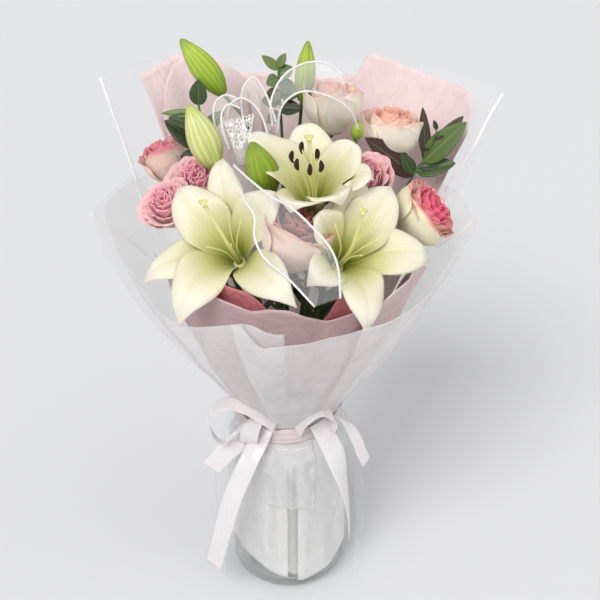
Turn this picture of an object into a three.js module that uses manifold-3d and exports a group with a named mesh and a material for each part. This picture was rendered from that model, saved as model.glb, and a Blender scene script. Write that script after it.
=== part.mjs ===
// A mixed bouquet of lilies, roses and eucalyptus, wrapped in tissue, frosted sheets and clear film,
// tied with satin ribbon and standing in a clear glass vase.
// Millimetres, +Z up, +Y away from the viewer. The origin is the middle of the vase's foot.
import * as THREE from "three";
import { mergeVertices } from "three/addons/utils/BufferGeometryUtils.js";
import Module from "manifold-3d";

const wasm = await Module();
wasm.setup();

// ---- driving dimensions ----
const GAP = 0.3; // air left between two pieces that meet
const PETAL = 0.8; // thickness of a petal, leaf or tepal, larger than life
const SHEET = 0.8; // thickness of tissue, film and ribbon, larger than life

const VASE_R = 65;
const VASE_H = 190;
const VASE_WALL = 3;
const VASE_FLOOR = 7;
const VASE_FOOT_R = 44; // the flat ring that stands on the table
const VASE_EDGE_R = 21; // the rounded edge between foot and wall

const NECK_Z = 229; // top of the gathered neck
const BAND_LOW_Z = 212; // below this the sheets open again over the vase
const NECK_R = 50;
const BIND_Z = 222; // where the tie holds the stems
const STEM_R = 3.1; // half a stem, flat to flat
const STEM_FOOT_Z = VASE_FLOOR + GAP;
const STEM_PITCH = 2 * STEM_R + 2.5 * GAP;

const PINK = 0xf0cdd4;
const FROST = 0xf1e9ec;
const CLEAR = 0xe9eef0;
const CREAM = 0xf3efcf;
const GREEN = 0x5d7a3a;
const DARK_GREEN = 0x3d5632;

const vec = (p) => new THREE.Vector3(...p);
const radians = THREE.MathUtils.degToRad;
const mix = THREE.MathUtils.lerp;
const smooth = THREE.MathUtils.smoothstep;

// ---- solids from grids and rings ----
function solid(points, faces) {
  const flat = new Float32Array(points.length * 3);
  points.forEach((p, i) => p.toArray(flat, 3 * i));
  const mesh = new wasm.Mesh({
    numProp: 3,
    vertProperties: flat,
    triVerts: new Uint32Array(faces.flat()),
  });
  return new wasm.Manifold(mesh);
}

// The grid with its rim moved outwards in its own surface.
function widened(grid, by) {
  const last = grid.length - 1;
  const end = grid[0].length - 1;
  const push = (p, q) => p.add(p.clone().sub(q).setLength(by));
  for (let j = 0; j <= end; j++) {
    push(grid[0][j], grid[1][j]);
    push(grid[last][j], grid[last - 1][j]);
  }
  for (let i = 0; i <= last; i++) {
    push(grid[i][0], grid[i][1]);
    push(grid[i][end], grid[i][end - 1]);
  }
  return grid;
}

// A thin curved blade: two faces either side of a grid of points, with the same diagonals, and a rim.
function blade(grid, thickness, grow = 0) {
  const g = grow ? widened(grid, grow) : grid;
  const rows = g.length;
  const cols = g[0].length;
  const at = (i, j) => g[Math.min(Math.max(i, 0), rows - 1)][Math.min(Math.max(j, 0), cols - 1)];
  const upper = [];
  const lower = [];
  for (let i = 0; i < rows; i++)
    for (let j = 0; j < cols; j++) {
      const along = at(i + 1, j).clone().sub(at(i - 1, j));
      const across = at(i, j + 1).clone().sub(at(i, j - 1));
      const half = along.cross(across).setLength(thickness / 2 + grow);
      upper.push(g[i][j].clone().add(half));
      lower.push(g[i][j].clone().sub(half));
    }
  const id = (i, j) => i * cols + j;
  const under = rows * cols;
  const faces = [];
  for (let i = 0; i < rows - 1; i++)
    for (let j = 0; j < cols - 1; j++) {
      const [a, b, c, d] = [id(i, j), id(i + 1, j), id(i + 1, j + 1), id(i, j + 1)];
      faces.push([a, b, c], [a, c, d]);
      faces.push([under + a, under + c, under + b], [under + a, under + d, under + c]);
    }
  const rim = [];
  for (let j = 0; j < cols; j++) rim.push(id(0, j));
  for (let i = 1; i < rows; i++) rim.push(id(i, cols - 1));
  for (let j = cols - 2; j >= 0; j--) rim.push(id(rows - 1, j));
  for (let i = rows - 2; i > 0; i--) rim.push(id(i, 0));
  rim.forEach((p, k) => {
    const q = rim[(k + 1) % rim.length];
    faces.push([p, q, under + q], [p, under + q, under + p]);
  });
  return solid([...upper, ...lower], faces);
}

// Rings of points joined one to the next, closed by a flat face at each end.
function loft(rings) {
  const n = rings[0].length;
  const faces = [];
  for (let i = 0; i < rings.length - 1; i++)
    for (let k = 0; k < n; k++) {
      const [a, b] = [i * n + k, i * n + ((k + 1) % n)];
      faces.push([a, b, b + n], [a, b + n, a + n]);
    }
  const top = (rings.length - 1) * n;
  for (let k = 1; k < n - 1; k++) faces.push([0, k + 1, k], [top, top + k, top + k + 1]);
  return solid(rings.flat(), faces);
}

// A round stalk along a smooth curve, its radius given for each share of the way.
function stalk(points, radiusAt, sides, steps, grow = 0) {
  const curve = new THREE.CatmullRomCurve3(points, false, "centripetal");
  const rings = [];
  for (let i = 0; i <= steps; i++) {
    const t = i / steps;
    const ahead = curve.getTangent(t);
    const side = new THREE.Vector3(1, 0, 0).addScaledVector(ahead, -ahead.x).normalize();
    const up = ahead.clone().cross(side);
    const reach = i === 0 ? -grow : i === steps ? grow : 0;
    const middle = curve.getPoint(t).addScaledVector(ahead, reach);
    const r = radiusAt(t) + grow;
    const ring = [];
    for (let k = 0; k < sides; k++) {
      const turn = (2 * Math.PI * (k + 0.5)) / sides;
      const out = side.clone().multiplyScalar(r * Math.cos(turn));
      ring.push(out.addScaledVector(up, r * Math.sin(turn)).add(middle));
    }
    rings.push(ring);
  }
  return loft(rings);
}

const fuse = (solids) => solids.reduce((whole, next) => whole.add(next));

// The largest body of a solid, so a scrap that a cut leaves behind is dropped.
function largest(whole) {
  const bodies = whole.decompose();
  return bodies.reduce((best, body) => (body.volume() > best.volume() ? body : best));
}

// Turns local +Z to face the given way and moves the origin to a place.
function placed(at, facing) {
  const turn = new THREE.Quaternion().setFromUnitVectors(
    new THREE.Vector3(0, 0, 1),
    vec(facing).normalize(),
  );
  return new THREE.Matrix4().compose(vec(at), turn, new THREE.Vector3(1, 1, 1));
}

const moved = (grid, matrix) => grid.map((row) => row.map((p) => p.applyMatrix4(matrix)));

// ---- lilies ----
// Every tepal leaves the throat along one funnel and bends outwards on its own: turn in degrees round the
// flower's axis, reach from the axis and rise along it at the tip, width, and how far the tip rolls back.
const THROAT_R = 5;
const TEPAL_REACH = 74; // the common funnel's reach and rise where a tepal ends, before its own bend
const TEPAL_RISE = 48;
const TEPAL_CURVE = new THREE.CubicBezierCurve(
  new THREE.Vector2(THROAT_R, 0),
  new THREE.Vector2(21, 42),
  new THREE.Vector2(53, 54),
  new THREE.Vector2(TEPAL_REACH, TEPAL_RISE),
);
const WHORL_STEP = 3; // the outer three tepals lie this far outside the inner three

function tepalGrid([turn, reach, rise, width, roll], outer, along, across) {
  const rows = [];
  for (let i = 0; i <= along; i++) {
    const t = i / along;
    const step = outer ? WHORL_STEP * 4 * t * (1 - t) : 0;
    const { x, y } = TEPAL_CURVE.getPoint(t);
    const r = x + (reach - TEPAL_REACH) * t * t + 0.8 * step;
    const z = y + (rise - TEPAL_RISE) * t ** 3 + 3 * roll * (1 - t) * t * t - 0.6 * step;
    const half = 0.5 * width * Math.max(0.09, Math.sin(Math.PI * Math.pow(t, 1.1)) ** 0.9);
    const row = [];
    for (let j = 0; j <= across; j++) {
      const v = (2 * j) / across - 1;
      const angle = radians(turn) + (half * v) / r;
      const cup = mix(0.12, -0.16, t) * half * v * v;
      row.push(new THREE.Vector3(r * Math.cos(angle), r * Math.sin(angle), z + cup));
    }
    rows.push(row);
  }
  return rows;
}

function lily({ at, facing, tepals }) {
  const matrix = placed(at, facing);
  return (grow) => {
    const blades = tepals.map((t, k) =>
      blade(moved(tepalGrid(t, k % 2 === 1, 4, 2), matrix), PETAL, grow),
    );
    const foot = [
      [0, 0, -6 - grow],
      [0, 0, 3 + grow],
    ].map((p) => vec(p).applyMatrix4(matrix));
    return fuse([...blades, stalk(foot, () => THROAT_R + 1, 6, 1, grow)]);
  };
}

// The pistil with its three-lobed tip, and the filaments, with anthers where the flower still has them.
const PISTIL_L = 84;
const FILAMENT_L = 58;

function heart({ at, facing, lean, anthers, filaments }) {
  const matrix = placed(at, facing);
  const local = (points) => points.map((p) => vec(p).applyMatrix4(matrix));
  const foot = 3 + 2 * GAP;
  return (grow) => {
    const seat = [[0, 0, foot], [0, 0, foot + 3]];
    const pistil = [[0, 0, foot + 1], [0, 0, 0.45 * PISTIL_L], [lean[0], lean[1], PISTIL_L]];
    const parts = [
      stalk(local(seat), () => 3.2, 6, 1, grow),
      stalk(local(pistil), (t) => mix(2.1, 1.5, t) + 2.2 * smooth(t, 0.75, 1), 5, 4, grow),
    ];
    filaments.forEach(([turn, spread]) => {
      const [c, s] = [Math.cos(radians(turn)), Math.sin(radians(turn))];
      const tip = [spread * c + 0.5 * lean[0], spread * s + 0.5 * lean[1], FILAMENT_L];
      const middle = [0.3 * tip[0] + c, 0.3 * tip[1] + s, 0.5 * FILAMENT_L];
      const root = [2.4 * c, 2.4 * s, foot + 1.5];
      parts.push(stalk(local([root, middle, tip]), () => 0.8, 3, 3, grow));
      const pod = [
        [tip[0] - c, tip[1] - s, tip[2] - 7],
        [tip[0] + 0.8 * c, tip[1] + 0.8 * s, tip[2]],
        [tip[0] - 0.5 * c, tip[1] - 0.5 * s, tip[2] + 7],
      ];
      if (anthers) parts.push(stalk(local(pod), (t) => 0.6 + 1.7 * Math.sin(Math.PI * t), 4, 3, grow));
    });
    return fuse(parts);
  };
}

// A closed lily bud with three ribs, drawn together at the tip.
function bud({ base, tip, radius }) {
  const sides = 9;
  const [from, to] = [vec(base), vec(tip)];
  const axis = to.clone().sub(from);
  const matrix = placed(base, axis.toArray());
  return (grow) => {
    const rings = [0, 0.18, 0.5, 0.84, 1].map((t) => {
      const swell = Math.sin(Math.PI * Math.pow(0.06 + 0.9 * t, 0.8)) ** 0.75;
      const rise = t * axis.length() + (t === 1 ? grow : t === 0 ? -grow : 0);
      return Array.from({ length: sides }, (_, k) => {
        const turn = (2 * Math.PI * k) / sides;
        const r = radius * swell * (1 + 0.09 * Math.cos(3 * turn)) + grow;
        return new THREE.Vector3(r * Math.cos(turn), r * Math.sin(turn), rise).applyMatrix4(matrix);
      });
    });
    return loft(rings);
  };
}

// ---- roses ----
// One petal of a layer: it leaves the foot, bellies out and its lip rolls. One edge stands a little
// further out than the other, so the petals of a layer lap like tiles and none cross.
const PETAL_FOOT = 0.42; // radius of a petal's foot, as a share of its belly's

function rosePetalGrid(layer, k, radius, height) {
  const rows = [];
  const along = layer.steps;
  const middle = layer.start + (360 * k) / layer.petals;
  for (let i = 0; i <= along; i++) {
    const u = i / along;
    const belly = mix(PETAL_FOOT, 1, Math.sin(Math.min(1, 1.35 * u) * (Math.PI / 2)));
    const lip = smooth(u, 0.6, 1);
    const half = layer.half * mix(0.75, 1, Math.sin(Math.PI * Math.min(1, 0.15 + 0.7 * u)));
    const row = [];
    for (let j = 0; j <= layer.facets; j++) {
      const v = (2 * j) / layer.facets - 1;
      const turn = radians(middle + half * v);
      const r = radius * layer.size * belly * (1 + layer.roll * lip) + layer.lap * v * Math.min(1, 2 * u);
      const rise = height * layer.tall * (u - 0.1 * Math.abs(layer.roll) * lip - 0.13 * u * v * v);
      row.push(new THREE.Vector3(r * Math.cos(turn), r * Math.sin(turn), 1 + rise));
    }
    rows.push(row);
  }
  return rows;
}

// The innermost petal, rolled up like a scroll.
const SCROLL_TURN = 420;
const SCROLL_FACETS = 6;
function scrollGrid(size, radius, height) {
  const edge = (widest, rise) =>
    Array.from({ length: SCROLL_FACETS + 1 }, (_, j) => {
      const turn = radians((SCROLL_TURN * j) / SCROLL_FACETS);
      const r = mix(0.25, 1, j / SCROLL_FACETS) * widest * size * radius;
      return new THREE.Vector3(r * Math.cos(turn), r * Math.sin(turn), rise);
    });
  return [edge(0.6, 1), edge(1, 0.94 * height)];
}

const BUD_LAYERS = [
  { petals: 3, facets: 2, steps: 2, size: 0.74, tall: 1, half: 56, roll: 0.05, lap: 1.6, start: 50 },
  { petals: 4, facets: 3, steps: 2, size: 1, tall: 0.92, half: 48, roll: 0.3, lap: 2.2, start: 20 },
];
const OPEN_LAYERS = [
  { petals: 3, facets: 2, steps: 2, size: 0.5, tall: 0.94, half: 54, roll: 0.05, lap: 1.4, start: 0 },
  { petals: 3, facets: 2, steps: 2, size: 0.75, tall: 0.98, half: 56, roll: 0.08, lap: 1.8, start: 40 },
  { petals: 4, facets: 3, steps: 2, size: 1, tall: 0.84, half: 48, roll: 0.28, lap: 2.2, start: 10 },
];

function rose({ at, facing, radius, height, open }) {
  const matrix = placed(at, facing);
  const layers = open ? OPEN_LAYERS : BUD_LAYERS;
  return (grow) => {
    const petals = layers.flatMap((layer) =>
      Array.from({ length: layer.petals }, (_, k) =>
        blade(moved(rosePetalGrid(layer, k, radius, height), matrix), PETAL, grow),
      ),
    );
    const scroll = blade(moved(scrollGrid(open ? 0.3 : 0.46, radius, height), matrix), PETAL, grow);
    const foot = [0, 0.14].map((t) => vec([0, 0, height * t]).applyMatrix4(matrix));
    return fuse([scroll, ...petals, stalk(foot, () => 0.53 * radius, 6, 1, grow)]);
  };
}

// ---- leaves ----
// A leaf from its base to its tip, folded a little along its rib. Its face looks towards "face".
function leaf(base, tip, width, face, grow) {
  const spine = tip.clone().sub(base);
  const side = spine.clone().cross(face).normalize();
  const up = side.clone().cross(spine).normalize();
  const rows = [];
  for (let i = 0; i <= 3; i++) {
    const t = i / 3;
    const half = 0.5 * width * Math.max(0.12, Math.sin(Math.PI * Math.pow(t, 0.8)) ** 0.7);
    const droop = -0.12 * spine.length() * t * t;
    rows.push(
      [-1, 0, 1].map((v) =>
        base
          .clone()
          .addScaledVector(spine, t)
          .addScaledVector(side, half * v)
          .addScaledVector(up, droop + 0.16 * half * Math.abs(v)),
      ),
    );
  }
  return blade(rows, PETAL, grow);
}

// ---- stems ----
// Each stem stands on the vase's floor, passes the tie in a cell of a honeycomb and ends under its bloom.
// Below the tie the bundle opens again and turns a little, as hand-tied stems do.
const STEM_SPREAD = 1.9;
const STEM_TWIST = 28;

function cellCentre([column, row]) {
  return [STEM_PITCH * (column + row / 2), STEM_PITCH * row * Math.sin(radians(60))];
}

function stemRoute(cell, end, heading, beyond = []) {
  const [x, y] = cellCentre(cell);
  const [c, s] = [Math.cos(radians(STEM_TWIST)), Math.sin(radians(STEM_TWIST))];
  const foot = [STEM_SPREAD * (c * x - s * y), STEM_SPREAD * (s * x + c * y), STEM_FOOT_Z];
  const rise = vec(end).sub(vec([x, y, BIND_Z]));
  const tip = vec(end);
  const under = tip.clone().addScaledVector(vec(heading).normalize(), -28);
  return [
    vec(foot),
    vec([x, y, BIND_Z - 14]),
    vec([x, y, BIND_Z + 14]),
    vec([x, y, BIND_Z]).addScaledVector(rise, 0.5).lerp(under, 0.12),
    under,
    tip,
    ...beyond,
  ];
}

// shoots: thin side branches, each from its fork, a share of the way up the stem, through its points.
function stem({ cell, end, heading, shoots = [], hip = 0 }) {
  return (grow) => {
    const route = stemRoute(cell, end, heading);
    const curve = new THREE.CatmullRomCurve3(route, false, "centripetal");
    const slim = (t) => mix(STEM_R / Math.cos(Math.PI / 6), 2.2, smooth(t, 0.5, 0.9));
    const thick = (t) => slim(t) + hip * smooth(t, 0.95, 1);
    const parts = [stalk(route, thick, 6, 7, grow)];
    shoots.forEach(({ fork, points }) =>
      parts.push(stalk([curve.getPoint(fork), ...points.map(vec)], () => 1.8, 5, 5, grow)),
    );
    return fuse(parts);
  };
}

// A eucalyptus stem with its spray of leaves, each given by its place along the spray, the way its tip
// points from there, and its width.
function spray({ cell, route, leaves, face }) {
  return (grow) => {
    const points = route.map(vec);
    const curve = new THREE.CatmullRomCurve3(points, false, "centripetal");
    const heading = points[1].clone().sub(points[0]).toArray();
    const blades = leaves.map(([t, reach, width]) => {
      const base = curve.getPoint(t);
      return leaf(base, base.clone().add(vec(reach)), width, vec(face), grow);
    });
    const thick = (t) => mix(STEM_R / Math.cos(Math.PI / 6), 1.3, smooth(t, 0.5, 0.9));
    const whole = stemRoute(cell, route[0], heading, points.slice(1));
    return fuse([stalk(whole, thick, 5, 8, grow), ...blades]);
  };
}

// ---- wrapping sheets ----
// All sheets follow one funnel round the stems, so they nest like cups: its radius at the side, the
// back and the front, at the neck, at its knee and at its top.
const KNEE_Z = 360;
const FUNNEL_Z = [NECK_Z, KNEE_Z, 570];
const FUNNEL_SIDE = [NECK_R, 121, 198];
const FUNNEL_BACK = [NECK_R, 94, 131];
const FUNNEL_FRONT = [NECK_R, 132, 214];

function between(heights, radii, z) {
  let i = 1;
  while (i < heights.length - 1 && z > heights[i]) i++;
  return mix(radii[i - 1], radii[i], (z - heights[i - 1]) / (heights[i] - heights[i - 1]));
}

function funnelRadius(angle, z) {
  const s = Math.sin(radians(angle));
  const side = between(FUNNEL_Z, FUNNEL_SIDE, z);
  const other = between(FUNNEL_Z, s > 0 ? FUNNEL_BACK : FUNNEL_FRONT, z);
  return mix(side, other, s * s);
}

// Shallow pleats, gathered at the neck and opening upwards, the same in every sheet.
const PLEAT_STEP = 15; // degrees from a ridge to the next furrow, and between a sheet's columns
const pleat = (angle, z) => 1.6 * Math.cos(radians((180 / PLEAT_STEP) * angle)) * smooth(z, NECK_Z, 300);

// Below the neck a sheet hangs over the vase's rim and down round it: the heights of a skirt's rows above
// its hem, and the share of its flare that each row takes, from the hem up.
const SKIRT_Z = [150, VASE_H - 4, VASE_H + 7];
const SKIRT_FLARE = [1, 0.9, 0.35, 0.05];

// level: how far the sheet lies outside the innermost one at the neck. lean: how far its top stands in
// or out. edge: pairs of angle and height along its upper rim. skirt: the radius of the part over the
// vase, how far it flares, and pairs of angle and height along its hem.
function sheet({ level, lean = 0, from, to, edge, skirt = null }) {
  const along = (table) => (angle) => between(table.map(([a]) => a), table.map(([, z]) => z), angle);
  const columns = [];
  for (let angle = from; angle <= to; angle += PLEAT_STEP) columns.push(angle);
  const ring = (radiusAt, heightAt) =>
    columns.map((angle) => {
      const z = heightAt(angle);
      const r = radiusAt(angle, z);
      return new THREE.Vector3(r * Math.cos(radians(angle)), r * Math.sin(radians(angle)), z);
    });
  const wrap = (angle, z) => {
    const h = smooth(z, NECK_Z, 460);
    return funnelRadius(angle, z) + level * (1 + 2.2 * h) + lean * h + pleat(angle, z);
  };
  return (grow) => {
    const grid = [];
    if (skirt)
      [along(skirt.hem), ...SKIRT_Z.map((z) => () => z)].forEach((heightAt, i) =>
        grid.push(ring(() => skirt.radius + SKIRT_FLARE[i] * skirt.flare, heightAt)),
      );
    grid.push(ring(() => NECK_R + level, () => BAND_LOW_Z));
    grid.push(ring(wrap, () => NECK_Z));
    grid.push(ring(wrap, () => KNEE_Z));
    grid.push(ring(wrap, along(edge)));
    return blade(grid, SHEET, grow);
  };
}

// ---- ribbons ----
// A flat ribbon along a smooth curve. "across" gives, for each point, the way its width runs.
function ribbon({ route, across, width, steps = 8 }) {
  return (grow) => {
    const curve = new THREE.CatmullRomCurve3(route.map(vec), false, "centripetal");
    const spread = new THREE.CatmullRomCurve3(across.map(vec), false, "centripetal");
    const grid = [];
    for (let i = 0; i <= steps; i++) {
      const t = i / steps;
      const ahead = curve.getTangent(t);
      const side = spread.getPoint(t);
      side.addScaledVector(ahead, -ahead.dot(side)).setLength(width / 2);
      const middle = curve.getPoint(t);
      grid.push([middle.clone().sub(side), middle.clone().add(side)]);
    }
    return blade(grid, SHEET, grow);
  };
}

// A band round the neck, with its ends lapped at the back.
function band({ radius, z, width }) {
  return (grow) => {
    const grid = [];
    for (let i = 0; i <= 23; i++) {
      const turn = radians(97.5 + PLEAT_STEP * i);
      grid.push(
        [-0.5, 0.5].map((v) => vec([radius * Math.cos(turn), radius * Math.sin(turn), z + width * v])),
      );
    }
    return blade(grid, SHEET, grow);
  };
}

// ---- vase and tie ----
// A profile of [radius, height] turned round the upright axis.
function turned(profile, segments) {
  const lathe = new THREE.LatheGeometry(profile, segments).rotateX(Math.PI / 2);
  lathe.deleteAttribute("normal").deleteAttribute("uv");
  const merged = mergeVertices(lathe, 1e-3);
  const mesh = new wasm.Mesh({
    numProp: 3,
    vertProperties: merged.attributes.position.array,
    triVerts: new Uint32Array(merged.index.array),
  });
  return new wasm.Manifold(mesh);
}

function vase() {
  const inner = VASE_R - VASE_WALL;
  const turn = VASE_EDGE_R - VASE_WALL;
  const arc = (x, z, r, from, to, steps) =>
    new THREE.Path().absarc(x, z, r, radians(from), radians(to), to < from).getPoints(steps / 2);
  const profile = [
    new THREE.Vector2(0, 0),
    ...arc(VASE_FOOT_R, VASE_EDGE_R, VASE_EDGE_R, -90, 0, 4),
    ...arc(VASE_R - VASE_WALL / 2, VASE_H - VASE_WALL / 2, VASE_WALL / 2, 0, 180, 2),
    ...arc(inner - turn, VASE_FLOOR + turn, turn, 0, -90, 2),
    new THREE.Vector2(0, VASE_FLOOR),
  ];
  return turned(profile, 20);
}

// Twine wound round the stems.
const BIND_R = 18.4;
function binding() {
  const corners = [[0, -7], [2.2, -7], [2.2, 7], [0, 7], [0, -7]];
  return turned(corners.map(([r, z]) => new THREE.Vector2(BIND_R + r, BIND_Z + z)), 14);
}

// ---- the bouquet: what grows, what wraps it and what holds it ----
const LILIES = {
  left: {
    at: [-42, -72, 434],
    facing: [-0.23, -0.55, 0.78],
    lean: [-8, 20],
    anthers: false,
    filaments: [[60, 20], [0, 22], [-60, 24], [-120, 22]],
    tepals: [
      [128, 82, 48, 52, 6],
      [89, 92, 52, 36, 2],
      [36, 66, 50, 46, 10],
      [-50, 88, 36, 42, 4],
      [-134, 84, 32, 50, 8],
      [-172, 86, 38, 38, 4],
    ],
  },
  middle: {
    at: [26, -42, 473],
    facing: [0, -0.34, 0.94],
    lean: [-5, 8],
    anthers: true,
    filaments: [[156, 19], [113, 22], [64, 12], [-32, 10], [-98, 10], [-168, 13]],
    tepals: [
      [143, 82, 58, 50, 4],
      [95, 68, 58, 46, 4],
      [38, 54, 57, 46, 4],
      [2, 54, 50, 42, 6],
      [-60, 42, 48, 42, 10],
      [-118, 50, 52, 44, 10],
    ],
  },
  right: {
    at: [47, -78, 433],
    facing: [0.3, -0.55, 0.75],
    lean: [-7, 14],
    anthers: false,
    filaments: [[50, 22], [0, 22], [-70, 22], [170, 20]],
    tepals: [
      [66, 78, 52, 50, 4],
      [103, 70, 56, 40, 2],
      [155, 44, 50, 42, 10],
      [-127, 54, 38, 36, 8],
      [-72, 76, 32, 46, 6],
      [11, 80, 40, 46, 4],
    ],
  },
};

const BUDS = {
  top: { base: [-59, 30, 562], tip: [-98, 30, 616], radius: 12.5 },
  left: { base: [-66, -22, 508], tip: [-88, -22, 570], radius: 15 },
  middle: { base: [-15, -34, 487], tip: [-30, -52, 546], radius: 15 },
  back: { base: [15, 60, 545], tip: [21, 60, 606], radius: 10 },
  small: { base: [67, 16, 522], tip: [69, 16, 542], radius: 6 },
};

// at is the foot of the bloom, where its stem ends.
const ROSES = {
  left: { at: [-108, 22, 476], facing: [-0.45, 0.05, 0.9], radius: 21, height: 44, open: false },
  inner_left: { at: [-84, -4, 480], facing: [-0.15, -0.5, 0.85], radius: 23, height: 40, open: true },
  lower_left: { at: [-100, -44, 452], facing: [-0.35, -0.5, 0.8], radius: 24, height: 40, open: true },
  top: { at: [43, 48, 518], facing: [0.05, 0.05, 1], radius: 28, height: 50, open: false },
  top_right: { at: [101, 48, 490], facing: [0.1, 0.05, 1], radius: 29, height: 50, open: false },
  inner_right: { at: [85, 8, 480], facing: [-0.1, -0.5, 0.86], radius: 31, height: 44, open: true },
  right: { at: [112, -22, 445], facing: [0.7, -0.15, 0.65], radius: 31, height: 48, open: true },
  middle: { at: [3, -76, 437], facing: [0.28, -0.05, 1], radius: 34, height: 54, open: true },
};

const SPRAYS = {
  left: {
    face: [-0.1, -0.7, 0.7],
    cell: [-1, 1],
    route: [[-62, 8, 470], [-76, 2, 525], [-82, 10, 560]],
    leaves: [
      [0.98, [0, 2, 24], 16],
      [0.9, [-30, -4, 4], 9],
      [0.78, [-22, -12, -8], 20],
      [0.7, [18, 8, 20], 14],
      [0.62, [-20, -10, -22], 18],
      [0.52, [-26, 14, 6], 16],
    ],
  },
  top: {
    face: [0, -0.8, 0.6],
    cell: [-1, 2],
    route: [[-4, 56, 490], [-6, 58, 540], [-8, 60, 580]],
    leaves: [
      [1, [8, 2, 16], 7],
      [0.97, [-16, 0, 12], 8],
      [0.9, [14, 0, 10], 13],
      [0.86, [-11, -4, -6], 12],
      [0.78, [16, -2, -8], 14],
      [0.7, [-12, -4, -14], 13],
      [0.55, [20, -8, 4], 15],
      [0.5, [-18, -4, -4], 14],
    ],
  },
  right: {
    face: [0, -0.7, 0.7],
    cell: [2, 0],
    route: [[112, 26, 450], [126, 28, 480], [150, 34, 512]],
    leaves: [
      [0.98, [28, 0, 10], 22],
      [0.9, [-14, 4, 22], 12],
      [0.84, [8, 6, 20], 13],
      [0.7, [30, -6, -4], 20],
      [0.6, [-32, -8, 10], 20],
      [0.5, [16, -18, -4], 14],
    ],
  },
};

// Cells of the honeycomb at the tie, column and row, chosen so that no stem has to cross another.
const LILY_STEMS = {
  left: { cell: [0, -2], forks: { left: 0.62 } },
  middle: { cell: [1, -1], forks: { middle: 0.62, small: 0.7 } },
  right: { cell: [2, -2], forks: {} },
};
// A lily stem with no open bloom: two buds on side shoots, and its own tip cut short.
const BUD_STEM = {
  cell: [0, 0],
  end: [-14, 26, 470],
  heading: [-0.1, 0.1, 1],
  forks: { top: 0.7, back: 0.75 },
};
const ROSE_CELLS = {
  left: [-2, 1],
  inner_left: [-1, 0],
  lower_left: [-1, -1],
  top: [0, 1],
  top_right: [1, 1],
  inner_right: [1, 0],
  right: [2, -1],
  middle: [1, -2],
};

const SHEETS = {
  tissue_right: {
    level: 1.2,
    from: 15,
    to: 75,
    edge: [[15, 540], [30, 559], [45, 569], [57, 571], [62, 560], [75, 541]],
  },
  tissue_left: {
    level: 1.2,
    lean: -30,
    from: 105,
    to: 150,
    edge: [[105, 540], [120, 571], [135, 583], [150, 573]],
  },
  tissue_middle: {
    level: 2.4,
    from: 60,
    to: 135,
    edge: [[55, 552], [75, 551], [93, 554], [121, 551], [142, 530]],
  },
  tissue_front: {
    level: 2.4,
    lean: -24,
    from: 210,
    to: 345,
    edge: [
      [206, 440], [222, 440], [236, 437], [250, 431], [262, 433], [270, 430], [276, 424], [285, 400],
      [292, 408], [298, 413], [305, 405], [318, 402], [331, 408], [345, 436],
    ],
  },
  frost_left: {
    level: 3.6,
    lean: 6,
    from: 135,
    to: 270,
    edge: [
      [135, 452], [156, 462], [170, 466], [185, 460], [196, 450], [206, 437], [212, 424], [222, 410],
      [240, 409], [250, 420], [259, 432], [266, 420], [270, 421],
    ],
    skirt: {
      radius: VASE_R + 1.5,
      flare: 1.5,
      hem: [[135, 30], [205, 44], [222, 32], [240, 20], [262, 8], [270, 5]],
    },
  },
  frost_right: {
    level: 4.8,
    lean: 8,
    from: 255,
    to: 390,
    edge: [
      [255, 428], [262, 402], [274, 411], [296, 417], [306, 421], [316, 428], [325, 444], [333, 468],
      [345, 464], [359, 459], [378, 459], [390, 452],
    ],
    skirt: {
      radius: VASE_R + 2.8,
      flare: 1.5,
      hem: [[255, 14], [266, 6], [276, 3], [300, 12], [322, 27], [335, 33], [390, 30]],
    },
  },
  film: {
    level: 6,
    lean: 10,
    from: -30,
    to: 210,
    edge: [
      [-30, 410], [-15, 425], [0, 450], [15, 556], [30, 562], [90, 562], [130, 566], [150, 566],
      [165, 464], [185, 459], [200, 445], [210, 425],
    ],
    skirt: { radius: VASE_R + 4.3, flare: 14, hem: [[-30, 3], [210, 3]] },
  },
};

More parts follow.
